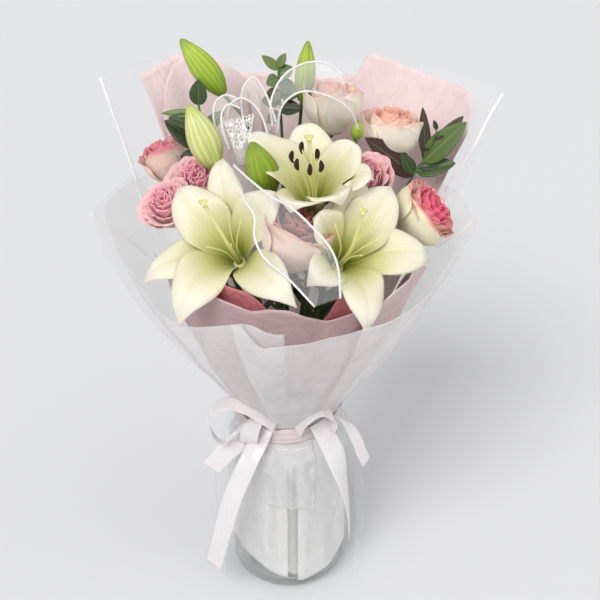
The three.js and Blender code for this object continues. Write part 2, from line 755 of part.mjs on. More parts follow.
// The satin ends start flat on the band, at its front, and the organza strip is tucked into the tissue.
const RIBBONS = {
  satin_loop: {
    width: 24,
    route: [
      [-10, -58.3, 221], [-26, -58, 226], [-58, -78, 252], [-86, -72, 250], [-94, -62, 222],
      [-72, -66, 204], [-42, -62, 214], [-26, -57, 218],
    ],
    across: [
      [0, 0, 1], [0, -0.3, 1], [0.3, -0.6, 1], [0.9, -0.6, 0.6], [1, -0.5, 0], [0.5, -0.4, -1],
      [0, -0.4, -1], [0, 0, -1],
    ],
  },
  satin_tail_left: {
    width: 20,
    route: [
      [-14, -57.3, 226], [-15, -57.6, 214], [-24, -76, 196], [-36, -84, 165], [-58, -84, 110],
      [-76, -72, 45],
    ],
    across: [
      [1, -0.25, 0], [1, -0.25, 0.1], [1, -0.2, 0.2], [1, -0.3, 0.2], [0.9, -0.5, 0.2], [0.8, -0.7, 0],
    ],
  },
  satin_tail_short: {
    width: 16,
    route: [[-40, -43.5, 225], [-43, -48, 211], [-60, -64, 197], [-82, -72, 186], [-90, -66, 160]],
    across: [[0.7, -0.7, 0.1], [0.7, -0.7, 0.2], [0.7, -0.6, 0.4], [0.8, -0.6, 0.2], [0.7, -0.7, 0]],
  },
  satin_tail_right: {
    width: 20,
    route: [[28, -52, 226], [30, -53, 213], [44, -66, 196], [56, -70, 180], [62, -70, 165]],
    across: [[1, 0.55, 0], [1, 0.5, 0.2], [1, 0.4, 0.3], [1, 0.4, 0.2], [1, 0.4, 0.2]],
  },
  satin_tail_far: {
    width: 12,
    route: [[45, -38, 226], [48, -41, 213], [66, -50, 200], [78, -50, 190], [86, -47, 178]],
    across: [[0.7, 0.8, 0], [0.7, 0.8, 0.2], [0.8, 0.6, 0.4], [0.8, 0.6, 0.3], [0.8, 0.6, 0.2]],
  },
  organza_strip: {
    width: 46,
    route: [
      [-46, -40, 522], [-27, -84, 508], [-7, -118, 498], [9, -132, 480], [24, -142, 460], [36, -147, 439],
      [40, -148, 426],
    ],
    across: [
      [0.3, 0.9, 0.2], [0.4, 0.9, 0], [0.8, 0.5, 0.2], [0.96, 0.14, 0.24], [0.94, 0.17, 0.3],
      [0.6, -0.4, 0.6], [0.8, 0, 0.4],
    ],
  },
  organza_loop_tall: {
    width: 30,
    route: [[0, 14, 520], [2, 26, 560], [26, 34, 594], [56, 22, 584], [64, 8, 560]],
    across: [[0.3, -1, 0], [0.3, -1, 0.2], [0, -1, 0.5], [-0.2, -1, 0.4], [-0.4, -1, 0]],
  },
  organza_loop_left: {
    width: 26,
    route: [[-18, 6, 516], [-42, 18, 560], [-32, 34, 582], [-14, 24, 566], [-12, 8, 530]],
    across: [[-0.6, -1, 0], [-0.5, -1, 0.3], [0, -1, 0.6], [0.4, -1, 0.3], [0.6, -1, 0]],
  },
  organza_loop_low: {
    width: 24,
    route: [[-44, -6, 520], [-66, 6, 556], [-60, 16, 574], [-46, 8, 560]],
    across: [[-0.4, -1, 0.2], [-0.2, -1, 0.4], [0.2, -1, 0.6], [0.4, -1, 0.4]],
  },
  lace: {
    width: 27,
    route: [[-44, -22, 530], [-44, -20, 545], [-44, -14, 560]],
    across: [[1, 0, 0.1], [1, 0, 0], [1, 0, -0.1]],
  },
};

// ---- assembly ----
// Pieces are set in order. Each later one is cut back to leave a small gap to those already there.
const bouquet = new THREE.Group();
const kept = [];

function near(a, b) {
  return [0, 1, 2].every((k) => a.min[k] <= b.max[k] && b.min[k] <= a.max[k]);
}

function set(name, make, color, roughness = 0.6, metalness = 0) {
  const whole = make(0);
  let body = whole;
  for (const other of kept)
    if (near(body.boundingBox(), other.room.boundingBox())) body = body.subtract(other.room);
  body = largest(body);
  kept.push({ room: make(GAP) });
  const made = body.getMesh();
  const geometry = new THREE.BufferGeometry();
  const points = new Float32Array(made.numVert * 3);
  for (let i = 0; i < made.numVert; i++)
    points.set(made.vertProperties.subarray(i * made.numProp, i * made.numProp + 3), 3 * i);
  geometry.setAttribute("position", new THREE.BufferAttribute(points, 3));
  geometry.setIndex(new THREE.BufferAttribute(new Uint32Array(made.triVerts), 1));
  geometry.computeVertexNormals();
  const mesh = new THREE.Mesh(geometry, new THREE.MeshStandardMaterial({ color, roughness, metalness }));
  mesh.name = name;
  bouquet.add(mesh);
}

const under = ({ at, facing }, by) => vec(at).addScaledVector(vec(facing).normalize(), -by).toArray();

// A shoot from its fork to just under its bud.
const shootsTo = (forks) =>
  Object.entries(forks).map(([name, fork]) => {
    const { base, tip } = BUDS[name];
    const down = vec(base).sub(vec(tip)).normalize();
    const below = (by) => vec(base).addScaledVector(down, by).toArray();
    return { fork, points: [below(34), below(GAP)] };
  });

set("vase", () => vase(), 0xdfe8e4, 0.05);
set("tie", () => binding(), 0xd8c9a8, 0.9);
Object.entries(LILY_STEMS).forEach(([where, { cell, forks }]) => {
  const bloom = LILIES[where];
  const shape = { cell, end: under(bloom, 6 + GAP), heading: bloom.facing, shoots: shootsTo(forks) };
  set(`lily_${where}_stem`, stem(shape), GREEN);
});
set("lily_bud_stem", stem({ ...BUD_STEM, shoots: shootsTo(BUD_STEM.forks) }), GREEN);
Object.entries(ROSES).forEach(([where, bloom]) => {
  const shape = { cell: ROSE_CELLS[where], end: under(bloom, GAP), heading: bloom.facing, hip: 3 };
  set(`rose_${where}_stem`, stem(shape), GREEN);
});
Object.entries(LILIES).forEach(([where, bloom]) => {
  set(`lily_${where}`, lily(bloom), CREAM);
  set(`lily_${where}_heart`, heart(bloom), 0xd9dc6a);
});
Object.entries(BUDS).forEach(([where, shape]) => set(`bud_${where}`, bud(shape), 0xb5c64a));
const ROSE_COLOUR = { middle: 0xf0cbb4, top: 0xf2d9c6, top_right: 0xf2d6c0, left: 0xf0d8cc };
Object.entries(ROSES).forEach(([where, bloom]) =>
  set(`rose_${where}`, rose(bloom), ROSE_COLOUR[where] ?? 0xe79aac),
);
Object.entries(SPRAYS).forEach(([where, shape]) => set(`eucalyptus_${where}`, spray(shape), DARK_GREEN));
Object.entries(SHEETS).forEach(([name, shape]) =>
  set(name, sheet(shape), name.startsWith("tissue") ? PINK : name.startsWith("frost") ? FROST : CLEAR),
);
set("satin_band", band({ radius: 57.8, z: 220, width: 16 }), PINK, 0.3);
Object.entries(RIBBONS).forEach(([name, shape]) => set(name, ribbon(shape), 0xf6eef0, 0.35));

export default bouquet;
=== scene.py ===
"""A wrapped bouquet of lilies, roses and eucalyptus in a clear glass vase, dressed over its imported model.

Lengths are in millimetres, +Z up and +Y away from the viewer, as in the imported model. MM turns them to
Blender's metres when a mesh is made.
"""
import math
import random

import bmesh
import bpy
from mathutils import Matrix, Vector, noise


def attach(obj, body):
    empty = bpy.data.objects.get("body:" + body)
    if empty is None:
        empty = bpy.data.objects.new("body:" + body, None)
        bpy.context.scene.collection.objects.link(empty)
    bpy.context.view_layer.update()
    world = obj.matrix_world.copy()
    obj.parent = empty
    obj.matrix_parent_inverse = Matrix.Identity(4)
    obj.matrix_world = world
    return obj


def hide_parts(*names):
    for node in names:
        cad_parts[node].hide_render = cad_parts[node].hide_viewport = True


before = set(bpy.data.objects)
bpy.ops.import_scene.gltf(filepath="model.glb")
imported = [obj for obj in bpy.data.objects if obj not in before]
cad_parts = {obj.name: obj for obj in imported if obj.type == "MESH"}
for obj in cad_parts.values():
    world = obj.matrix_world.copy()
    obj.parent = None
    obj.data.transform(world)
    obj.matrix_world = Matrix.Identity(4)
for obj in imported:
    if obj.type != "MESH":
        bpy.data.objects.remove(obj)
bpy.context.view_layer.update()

MM = 0.001

# ---- camera ----
IMAGE_SIDE = 600  # pixels, the photograph is square
FOCAL_PIXELS = 1000
SENSOR = 36.0
CAMERA_AT = (13.3, -895.0, 870.0)
CAMERA_PITCH = 30.0  # degrees below the horizon

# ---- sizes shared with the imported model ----
VASE_R = 65.0
VASE_H = 190.0
VASE_WALL = 3.0
VASE_FLOOR = 7.0
VASE_FOOT_R = 44.0
VASE_EDGE_R = 21.0
NECK_Z = 229.0
NECK_R = 50.0
BAND_LOW_Z = 212.0
BIND_Z = 222.0
STEM_R = 3.1
GAP = 0.3
STEM_FOOT_Z = VASE_FLOOR + GAP
STEM_PITCH = 2 * STEM_R + 2.5 * GAP
STEM_SPREAD = 1.9
STEM_TWIST = 28.0
THROAT_R = 5.0
PISTIL_L = 84.0
FILAMENT_L = 58.0

PETAL = 0.5  # thickness of a petal or leaf
CLOTH = 0.3  # thickness of tissue, film and ribbon
MERGE = 0.02  # corners nearer than this are made one
GOLDEN_ANGLE = 137.5  # degrees from one leaf or petal to the next


def mix(a, b, t):
    return a + (b - a) * t


def smooth(x, low, high):
    t = min(max((x - low) / (high - low), 0.0), 1.0)
    return t * t * (3 - 2 * t)


def between(xs, ys, x):
    """The value at x on straight lines through the points (xs, ys)."""
    i = 1
    while i < len(xs) - 1 and x > xs[i]:
        i += 1
    return mix(ys[i - 1], ys[i], (x - xs[i - 1]) / (xs[i] - xs[i - 1]))


def placed(at, facing):
    """Turns local +Z to face the given way and moves the origin to a place."""
    turn = Vector((0, 0, 1)).rotation_difference(Vector(facing))
    return Matrix.Translation(Vector(at)) @ turn.to_matrix().to_4x4()


class Route:
    """A smooth centripetal curve through points."""

    def __init__(self, points):
        self.points = [Vector(p) for p in points]

    def at(self, t):
        points = self.points
        last = len(points) - 1
        i = min(int(t * last), last - 1)
        s = t * last - i
        b, c = points[i], points[i + 1]
        a = points[i - 1] if i > 0 else 2 * b - c
        d = points[i + 2] if i < last - 1 else 2 * c - b
        ab, bc, cd = (max((q - p).length ** 0.5, 1e-4) for p, q in ((a, b), (b, c), (c, d)))
        leave = ((b - a) / ab - (c - a) / (ab + bc) + (c - b) / bc) * bc
        arrive = ((c - b) / bc - (d - b) / (bc + cd) + (d - c) / cd) * bc
        square = -3 * b + 3 * c - 2 * leave - arrive
        cube = 2 * b - 2 * c + leave + arrive
        return b + leave * s + square * s**2 + cube * s**3

    def ahead(self, t):
        return (self.at(min(t + 1e-3, 1)) - self.at(max(t - 1e-3, 0))).normalized()


# ---- making meshes ----
def new_mesh():
    bm = bmesh.new()
    bm.loops.layers.uv.new("UVMap")
    bm.verts.layers.float.new("share")
    return bm


def surface(bm, across, along, shape, share=0.0):
    """Adds a grid and moves its corners to shape(v, t): v runs -1 to 1 across it, and t 0 to 1 along it.

    Its UV map is (v, t) from 0 to 1, and "share" is one number for the whole of it, for its colour.
    """
    made = bmesh.ops.create_grid(bm, x_segments=across, y_segments=along, size=1)["verts"]
    place = {vert: (vert.co.x, (vert.co.y + 1) / 2) for vert in made}
    uv = bm.loops.layers.uv["UVMap"]
    tint = bm.verts.layers.float["share"]
    for face in {face for vert in made for face in vert.link_faces}:
        face.smooth = True
        for loop in face.loops:
            v, t = place[loop.vert]
            loop[uv].uv = ((v + 1) / 2, t)
    for vert, (v, t) in place.items():
        vert.co = Vector(shape(v, t)) * MM
        vert[tint] = share
    return made


def tube(bm, route, radius, sides, steps):
    """Adds a closed round tube along a route; radius(t) is its radius at each share of the way."""
    rows = steps + 2

    def shape(v, t):
        k = round(t * rows)
        s = (min(max(k, 1), rows - 1) - 1) / steps
        ahead = route.ahead(s)
        side = Vector((1, 0, 0)) - ahead * ahead.x
        if side.length < 0.2:
            side = Vector((0, 1, 0)) - ahead * ahead.y
        side.normalize()
        up = ahead.cross(side)
        r = 0.0 if k in (0, rows) else radius(s)
        turn = math.pi * v
        return route.at(s) + side * (r * math.cos(turn)) + up * (r * math.sin(turn))

    made = surface(bm, sides, rows, shape)
    bmesh.ops.remove_doubles(bm, verts=made, dist=MERGE * MM)


def finished(bm, name, look, slot, replaced=(), thickness=0.0, closed=False):
    """Makes the object: a closed shape gets its normals turned outwards, and a thin one its thickness."""
    if closed:
        bmesh.ops.recalc_face_normals(bm, faces=bm.faces)
    mesh = bpy.data.meshes.new(name)
    bm.to_mesh(mesh)
    bm.free()
    piece = bpy.data.objects.new(name, mesh)
    bpy.context.scene.collection.objects.link(piece)
    mesh.materials.append(look)
    if thickness:
        wall = piece.modifiers.new("thickness", "SOLIDIFY")
        wall.thickness = thickness * MM
        wall.offset = 0
    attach(piece, "root")
    if replaced:
        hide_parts(*replaced)
    return piece


# ---- materials ----
def colour(hex_value):
    """A colour written as sRGB hex, in linear light."""
    parts = [((hex_value >> shift) & 255) / 255 for shift in (16, 8, 0)]
    return [p / 12.92 if p <= 0.04045 else ((p + 0.055) / 1.055) ** 2.4 for p in parts] + [1.0]


def material(name):
    made = bpy.data.materials.new(name)
    made.use_nodes = True
    tree = made.node_tree
    return made, tree, tree.nodes["Principled BSDF"]


def add(tree, kind, inputs=None, **settings):
    """Adds a node with its settings; an input is a value, or a socket that it is linked to."""
    made = tree.nodes.new(kind)
    for key, value in settings.items():
        setattr(made, key, value)
    for key, value in (inputs or {}).items():
        if isinstance(value, bpy.types.NodeSocket):
            tree.links.new(value, made.inputs[key])
        else:
            made.inputs[key].default_value = value
    return made


def set_on(shader, **values):
    """Plain numbers and colours on the shader's own sockets: words are joined by an underscore."""
    for key, value in values.items():
        shader.inputs[key.replace("_", " ")].default_value = value


def own_map(tree):
    """The piece's own UV map, and its two ways: X across and Y along the piece."""
    uv = add(tree, "ShaderNodeUVMap", uv_map="UVMap").outputs["UV"]
    return uv, add(tree, "ShaderNodeSeparateXYZ", {0: uv})


def off_middle_line(tree, place):
    """How far a point is from the middle line of its piece, as a share of the width."""
    across = add(tree, "ShaderNodeMath", {0: place.outputs["X"], 1: 0.5}, operation="SUBTRACT").outputs[0]
    return add(tree, "ShaderNodeMath", {0: across}, operation="ABSOLUTE").outputs[0]


def dress(tree, shader, tint, height, strength, distance):
    """Gives the shader its colour and its fine relief."""
    bump = add(tree, "ShaderNodeBump", {"Strength": strength, "Distance": distance, "Height": height})
    tree.links.new(bump.outputs[0], shader.inputs["Normal"])
    if tint:
        tree.links.new(tint, shader.inputs["Base Color"])


def lily_tepal_look():
    """Fresh lily tepal, grown: waxy cream, yellow-green in the throat and along the rib, with fine veins."""
    made, tree, shader = material("fresh lily tepal")
    uv, place = own_map(tree)
    off_rib = off_middle_line(tree, place)
    along = add(tree, "ShaderNodeValToRGB", {0: place.outputs["Y"]})
    ramp(along, [(0.0, 0x6B7614), (0.14, 0x99A03C), (0.34, 0xD3CF90), (0.58, 0xEAE3C2), (0.88, 0xF3EEDA),
                 (1.0, 0xE9E0BC)])
    # the rib is green in the throat and fades out towards the tip
    rib = add(tree, "ShaderNodeMapRange", {0: off_rib, 1: 0.0, 2: 0.1, 3: 1.0, 4: 0.0},
              interpolation_type="SMOOTHSTEP").outputs[0]
    fading = add(tree, "ShaderNodeMapRange",
                 {0: place.outputs["Y"], 1: 0.1, 2: 0.8, 3: 0.5, 4: 0.12}).outputs[0]
    rib_here = add(tree, "ShaderNodeMath", {0: rib, 1: fading}, operation="MULTIPLY").outputs[0]
    tint = add(tree, "ShaderNodeMix", {0: rib_here, 6: along.outputs[0], 7: colour(0xCBCC78)}, data_type="RGBA")
    veins = add(tree, "ShaderNodeTexWave", {"Vector": uv, "Scale": 4.2, "Distortion": 1.2, "Detail": 1.0},
                bands_direction="X")
    veined_by = add(tree, "ShaderNodeMath", {0: veins.outputs["Fac"], 1: 0.06}, operation="MULTIPLY").outputs[0]
    veined = add(tree, "ShaderNodeMix", {0: veined_by, 6: tint.outputs[2], 7: colour(0xD9D3A0)},
                 data_type="RGBA")
    blotch = add(tree, "ShaderNodeTexNoise", {"Scale": 55.0, "Detail": 2.0})
    mottled = add(tree, "ShaderNodeMix", {0: 0.14, 6: veined.outputs[2], 7: blotch.outputs["Color"]},
                  data_type="RGBA", blend_type="OVERLAY")
    dress(tree, shader, mottled.outputs[2], veins.outputs["Fac"], 0.2, 0.0007)
    set_on(shader, Roughness=0.48, Subsurface_Weight=0.18, Subsurface_Scale=0.004, Sheen_Weight=0.15)
    shader.inputs["Subsurface Radius"].default_value = (1.0, 0.85, 0.45)
    return made


def ramp(node, steps):
    """Sets a colour ramp's stops to (place, sRGB hex) pairs."""
    stops = node.color_ramp.elements
    while len(stops) < len(steps):
        stops.new(0.5)
    for stop, (place, hex_value) in zip(stops, steps):
        stop.position = place
        stop.color = colour(hex_value)


def plant_look(name, stops, roughness=0.5, grain=60.0, veins=0.0, veined=0.0):
    """Fresh plant tissue whose colour runs along the piece, with a fine uneven grain or darker long veins."""
    made, tree, shader = material(name)
    uv, place = own_map(tree)
    along = add(tree, "ShaderNodeValToRGB", {0: place.outputs["Y"]})
    ramp(along, stops)
    blotch = add(tree, "ShaderNodeTexNoise", {"Scale": grain, "Detail": 3.0})
    mottled = add(tree, "ShaderNodeMix", {0: 0.2, 6: along.outputs[0], 7: blotch.outputs["Color"]},
                  data_type="RGBA", blend_type="OVERLAY").outputs[2]
    height = blotch.outputs["Fac"]
    if veins:
        height = add(tree, "ShaderNodeTexWave",
                     {"Vector": uv, "Scale": veins, "Distortion": 1.6, "Detail": 2.0},
                     bands_direction="X").outputs["Fac"]
        darkened = add(tree, "ShaderNodeMath", {0: height, 1: veined}, operation="MULTIPLY").outputs[0]
        mottled = add(tree, "ShaderNodeMix", {0: darkened, 6: mottled, 7: colour(0x5F7A1E)},
                      data_type="RGBA").outputs[2]
    dress(tree, shader, mottled, height, 0.3, 0.0006)
    set_on(shader, Roughness=roughness, Subsurface_Weight=0.1, Subsurface_Scale=0.002)
    return made


def rose_look(name, inner, outer, rim, rim_from=0.72, rim_strength=0.9, heart=(0.3, 0.88)):
    """Rose petal, grown: velvety, one colour at the heart, another on the guard petals, and its own rim."""
    made, tree, shader = material(name)
    uv, place = own_map(tree)
    share = add(tree, "ShaderNodeAttribute", attribute_name="share")
    layer = add(tree, "ShaderNodeMapRange", {0: share.outputs["Fac"], 1: heart[0], 2: heart[1]},
                interpolation_type="SMOOTHSTEP").outputs[0]
    base = add(tree, "ShaderNodeMix", {0: layer, 6: colour(inner), 7: colour(outer)}, data_type="RGBA")
    # the foot of every petal pales to a greenish cream
    foot = add(tree, "ShaderNodeMapRange", {0: place.outputs["Y"], 1: 0.0, 2: 0.5, 3: 0.75, 4: 0.0},
               interpolation_type="SMOOTHSTEP").outputs[0]
    paled = add(tree, "ShaderNodeMix", {0: foot, 6: base.outputs[2], 7: colour(0xF0E6C4)}, data_type="RGBA")
    blotch = add(tree, "ShaderNodeTexNoise", {"Scale": 130.0, "Detail": 3.0})
    wavering = add(tree, "ShaderNodeMath", {0: blotch.outputs["Fac"], 1: 0.16, 2: place.outputs["Y"]},
                   operation="MULTIPLY_ADD").outputs[0]
    edge = add(tree, "ShaderNodeMapRange", {0: wavering, 1: rim_from + 0.08, 2: 1.1, 3: 0.0, 4: rim_strength},
               interpolation_type="SMOOTHSTEP").outputs[0]
    rimmed = add(tree, "ShaderNodeMix", {0: edge, 6: paled.outputs[2], 7: colour(rim)}, data_type="RGBA")
    mottled = add(tree, "ShaderNodeMix", {0: 0.12, 6: rimmed.outputs[2], 7: blotch.outputs["Color"]},
                  data_type="RGBA", blend_type="OVERLAY")
    veins = add(tree, "ShaderNodeTexWave", {"Vector": uv, "Scale": 5.0, "Distortion": 2.5, "Detail": 2.0},
                bands_direction="X")
    dress(tree, shader, mottled.outputs[2], veins.outputs["Fac"], 0.14, 0.0005)
    set_on(shader, Roughness=0.62, Subsurface_Weight=0.2, Subsurface_Scale=0.003, Sheen_Weight=0.3)
    shader.inputs["Subsurface Radius"].default_value = (1.0, 0.5, 0.4)
    return made


def leaf_look():
    """Eucalyptus leaf, grown: leathery and a little waxy, green, or red-brown where the leaf is young."""
    made, tree, shader = material("eucalyptus leaf")
    _, place = own_map(tree)
    share = add(tree, "ShaderNodeAttribute", attribute_name="share")
    kinds = add(tree, "ShaderNodeValToRGB", {0: share.outputs["Fac"]})
    ramp(kinds, [(0.0, 0x7A8450), (0.35, 0x5E7638), (0.65, 0x2F4222), (1.0, 0x3E1D15)])
    off_rib = off_middle_line(tree, place)
    rib = add(tree, "ShaderNodeMapRange", {0: off_rib, 1: 0.0, 2: 0.035, 3: 0.3, 4: 0.0}).outputs[0]
    ribbed = add(tree, "ShaderNodeMix", {0: rib, 6: kinds.outputs[0], 7: colour(0x9CAA78)}, data_type="RGBA")
    blotch = add(tree, "ShaderNodeTexNoise", {"Scale": 180.0, "Detail": 3.0})
    mottled = add(tree, "ShaderNodeMix", {0: 0.25, 6: ribbed.outputs[2], 7: blotch.outputs["Color"]},
                  data_type="RGBA", blend_type="OVERLAY")
    dress(tree, shader, mottled.outputs[2], blotch.outputs["Fac"], 0.2, 0.0004)
    set_on(shader, Roughness=0.42)
    return made


def paper_look(name, hex_value, alpha, roughness, crinkle, glow=0.0):
    """Thin wrapping, rolled out and hand-creased: soft light through it, a fine crumple, and painted shade in
    its wide creases.
    """
    made, tree, shader = material(name)
    wide = add(tree, "ShaderNodeTexNoise", {"Scale": 16.0, "Detail": 4.0, "Roughness": 0.5, "Distortion": 0.8})
    fine = add(tree, "ShaderNodeTexNoise", {"Scale": 90.0, "Detail": 2.0})
    both = add(tree, "ShaderNodeMath", {0: fine.outputs["Fac"], 1: 0.25, 2: wide.outputs["Fac"]},
               operation="MULTIPLY_ADD").outputs[0]
    # the wide noise darkens the colour by up to a tenth: painted shade in the soft creases
    shade = add(tree, "ShaderNodeMapRange", {0: wide.outputs["Fac"], 1: 0.3, 2: 0.7, 3: 0.9, 4: 1.0}).outputs[0]
    tinted = add(tree, "ShaderNodeMix", {0: 1.0, 6: colour(hex_value), 7: shade},
                 data_type="RGBA", blend_type="MULTIPLY")
    dress(tree, shader, tinted.outputs[2], both, crinkle, 0.006)
    set_on(shader, Roughness=roughness, Alpha=alpha, Subsurface_Weight=glow, Subsurface_Scale=0.003)
    shader.inputs["Subsurface Radius"].default_value = (1.0, 0.9, 0.9)
    return made


def satin_look(name, shaded, lit):
    """Polyester satin ribbon, woven: pale pink, with a broad silky gloss across its fine warp, and painted
    shade in its folds.
    """
    made, tree, shader = material(name)
    uv = add(tree, "ShaderNodeUVMap", uv_map="UVMap").outputs["UV"]
    # the warp is finer than the picture can show, so about 30 lines are drawn across the ribbon
    warp = add(tree, "ShaderNodeTexWave", {"Vector": uv, "Scale": 9.5, "Distortion": 0.3}, bands_direction="X")
    # a noise mixes the colour between the shaded and the lit pink: painted shade in the folds, painted light on
    # the raised parts
    fold = add(tree, "ShaderNodeTexNoise", {"Scale": 30.0, "Detail": 2.0})
    tinted = add(tree, "ShaderNodeMix", {0: fold.outputs["Fac"], 6: colour(shaded), 7: colour(lit)},
                 data_type="RGBA")
    dress(tree, shader, tinted.outputs[2], warp.outputs["Fac"], 0.08, 0.0003)
    set_on(shader, Roughness=0.27, Anisotropic=0.6, Sheen_Weight=0.25, Coat_Weight=0.35, Coat_Roughness=0.22)
    set_on(shader, Subsurface_Weight=0.4, Subsurface_Scale=0.004)
    shader.inputs["Subsurface Radius"].default_value = (1.0, 0.95, 0.95)
    return made


def lace_look():
    """Nylon lace, knitted: a fine white net with rings of closer stitches, and holes between."""
    made, tree, shader = material("nylon lace")
    uv, place = own_map(tree)
    # the net of a real lace is too fine to show, so its holes are drawn about 2 mm wide
    net = add(tree, "ShaderNodeTexVoronoi", {"Vector": uv, "Scale": 15.0}, feature="DISTANCE_TO_EDGE")
    threads = add(tree, "ShaderNodeMath", {0: net.outputs["Distance"], 1: 0.09},
                  operation="LESS_THAN").outputs[0]
    flowers = add(tree, "ShaderNodeTexVoronoi", {"Vector": uv, "Scale": 4.5})
    ring = add(tree, "ShaderNodeMath", {0: flowers.outputs["Distance"], 1: 0.3, 2: 0.09}, operation="COMPARE")
    either = add(tree, "ShaderNodeMath", {0: threads, 1: ring.outputs[0]}, operation="MAXIMUM").outputs[0]
    off_middle = off_middle_line(tree, place)
    selvage = add(tree, "ShaderNodeMath", {0: off_middle, 1: 0.45}, operation="GREATER_THAN").outputs[0]
    solid = add(tree, "ShaderNodeMath", {0: either, 1: selvage}, operation="MAXIMUM").outputs[0]
    tree.links.new(solid, shader.inputs["Alpha"])
    set_on(shader, Base_Color=colour(0xECEAE9), Roughness=0.7)
    return made


def plain_look(name, hex_value, roughness):
    """One even finish whose slight unevenness shows only as a fine grain in its gloss."""
    made, tree, shader = material(name)
    grain = add(tree, "ShaderNodeTexNoise", {"Scale": 240.0, "Detail": 2.0})
    dress(tree, shader, None, grain.outputs["Fac"], 0.15, 0.0003)
    set_on(shader, Base_Color=colour(hex_value), Roughness=roughness)
    return made


def stripe_look():
    """White ink, printed on the film. It glows a little, since from inside it would look too dark."""
    made, _, shader = material("white printed stripe")
    set_on(shader, Base_Color=colour(0xFFFFFF), Roughness=0.5, Alpha=0.75, Emission_Strength=0.2)
    set_on(shader, Emission_Color=colour(0xFFFFFF))
    return made


def glass_look():
    """Soda-lime glass, blown and polished: clear, with a faint green tint.

    It is half see-through besides, since its foot would come out nearly black otherwise.
    """
    made, _, shader = material("soda-lime glass")
    set_on(shader, Base_Color=colour(0xF6FAF8), Roughness=0.03, IOR=1.5, Transmission_Weight=1.0, Alpha=0.5)
    return made


LOOKS = {
    "tepal": lily_tepal_look(),
    "pistil": plant_look("lily pistil and filament", [(0.0, 0xC6CC78), (0.6, 0xE6E29A), (1.0, 0xEFE8A6)], 0.4),
    "anther": plain_look("lily anther with pollen", 0x38201A, 0.9),
    "bud": plant_look("lily bud", [(0.0, 0x7C9A26), (0.35, 0xA3BE38), (0.8, 0xBBD14C), (1.0, 0x86A030)],
                      0.38, 40.0, 5.0, 0.35),
    "bud_dark": plant_look("green lily bud",
                           [(0.0, 0x6F8C24), (0.4, 0x8CA92E), (0.85, 0x9DB63C), (1.0, 0x7C962C)],
                           0.38, 40.0, 5.0, 0.35),
    "bud_pale": plant_look("pale lily bud",
                           [(0.0, 0xB4C45A), (0.4, 0xDDE094), (0.8, 0xE4E6A0), (1.0, 0xC3CE60)],
                           0.4, 40.0, 5.0, 0.3),
    "stem": plant_look("green stem", [(0.0, 0x5E7540), (0.6, 0x3E5A2A), (1.0, 0x587838)], 0.5, 90.0),
    "foliage": plant_look("lily leaf", [(0.0, 0x2E4420), (0.6, 0x3A552A), (1.0, 0x4B6A34)],
                          0.45, 60.0, 4.0, 0.1),
    "leaf": leaf_look(),
    "rose_cream": rose_look("cream rose petal", 0xE9939B, 0xF1CEC1, 0xE27F90, 0.82, 0.95),
    "rose_pink": rose_look("pink rose petal", 0xEE98AA, 0xF9D0CA, 0xF6B4BF, 0.68, 0.65),
    "rose_peach": rose_look("peach rose petal", 0xF6C2AC, 0xFFF1DE, 0xEE9F92, 0.86, 0.8),
    "rose_two_colour": rose_look("two-coloured rose petal", 0xE4607F, 0xFCF0CC, 0xE85F78, 0.84, 0.95),
    "rose_dark_heart": rose_look("dark-hearted rose petal", 0x7A1024, 0xF1D0BF, 0xD98878, 0.84, 0.62,
                                 heart=(0.5, 0.8)),
    "tissue": paper_look("pink tissue paper", 0xFBE6E6, 0.84, 0.8, 0.2),
    "tissue_deep": paper_look("pink tissue paper, inner", 0xE2BFC3, 0.9, 0.8, 0.3, 0.5),
    # the doubled tissue's deep pink is painted shade
    "tissue_shade": paper_look("pink tissue paper, doubled, painted shade", 0xD07C80, 0.95, 0.8, 0.4),
    "frost_side": paper_look("frosted polypropylene film, side", 0xFBFBFB, 0.09, 0.5, 0.2),
    "frost": paper_look("frosted polypropylene film", 0xFFFDFD, 0.42, 0.5, 0.45),
    "frost_thin": paper_look("frosted polypropylene film, one layer", 0xECECE8, 0.4, 0.5, 0.3),
    "film": paper_look("clear polypropylene film", 0xF8FAFB, 0.07, 0.15, 0.2),
    "crumpled": paper_look("crumpled clear film", 0xFFFFFF, 0.3, 0.3, 0.6),
    "stripe": stripe_look(),
    "satin": satin_look("polyester satin", 0xE4D8DA, 0xEFECEC),
    "satin_creased": satin_look("polyester satin, wound", 0xE6C9CD, 0xEFE0E2),
    "organza": paper_look("nylon organza", 0xFFFFFF, 0.15, 0.4, 0.1),
    "organza_fine": paper_look("nylon organza, one layer", 0xFFFFFF, 0.09, 0.4, 0.1),
    "cord": plain_look("white twisted cord", 0xEFEAEA, 0.5),
    "lace": lace_look(),
    "twine": plain_look("jute twine", 0xBFA97F, 0.9),
    "glass": glass_look(),
}

# ---- the flowers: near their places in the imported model, the roses up to 17 mm from them ----
LILIES = {
    "left": dict(
        at=(-42, -72, 434), facing=(-0.23, -0.55, 0.78), lean=(-8, 20), anthers=False,
        filaments=[(60, 20), (0, 22), (-60, 24), (-120, 22)],
        tepals=[(128, 82, 48, 52, 6), (89, 92, 52, 36, 2), (36, 66, 50, 46, 10),
                (-50, 88, 36, 42, 4), (-134, 84, 32, 50, 8), (-172, 86, 38, 38, 4)],
    ),
    "middle": dict(
        at=(26, -42, 473), facing=(0, -0.34, 0.94), lean=(-5, 8), anthers=True,
        filaments=[(156, 19), (113, 22), (64, 12), (-32, 10), (-98, 10), (-168, 13)],
        tepals=[(143, 82, 58, 50, 4), (95, 68, 58, 46, 4), (38, 54, 57, 46, 4),
                (2, 54, 50, 42, 6), (-60, 42, 48, 42, 10), (-118, 50, 52, 44, 10)],
    ),
    "right": dict(
        at=(47, -78, 433), facing=(0.3, -0.55, 0.75), lean=(-7, 14), anthers=False,
        filaments=[(50, 22), (0, 22), (-70, 22), (170, 20)],
        tepals=[(66, 78, 52, 50, 4), (96, 70, 57, 38, 2), (155, 44, 50, 42, 10),
                (-127, 54, 38, 36, 8), (-72, 76, 32, 46, 6), (11, 80, 40, 46, 4)],
    ),
}

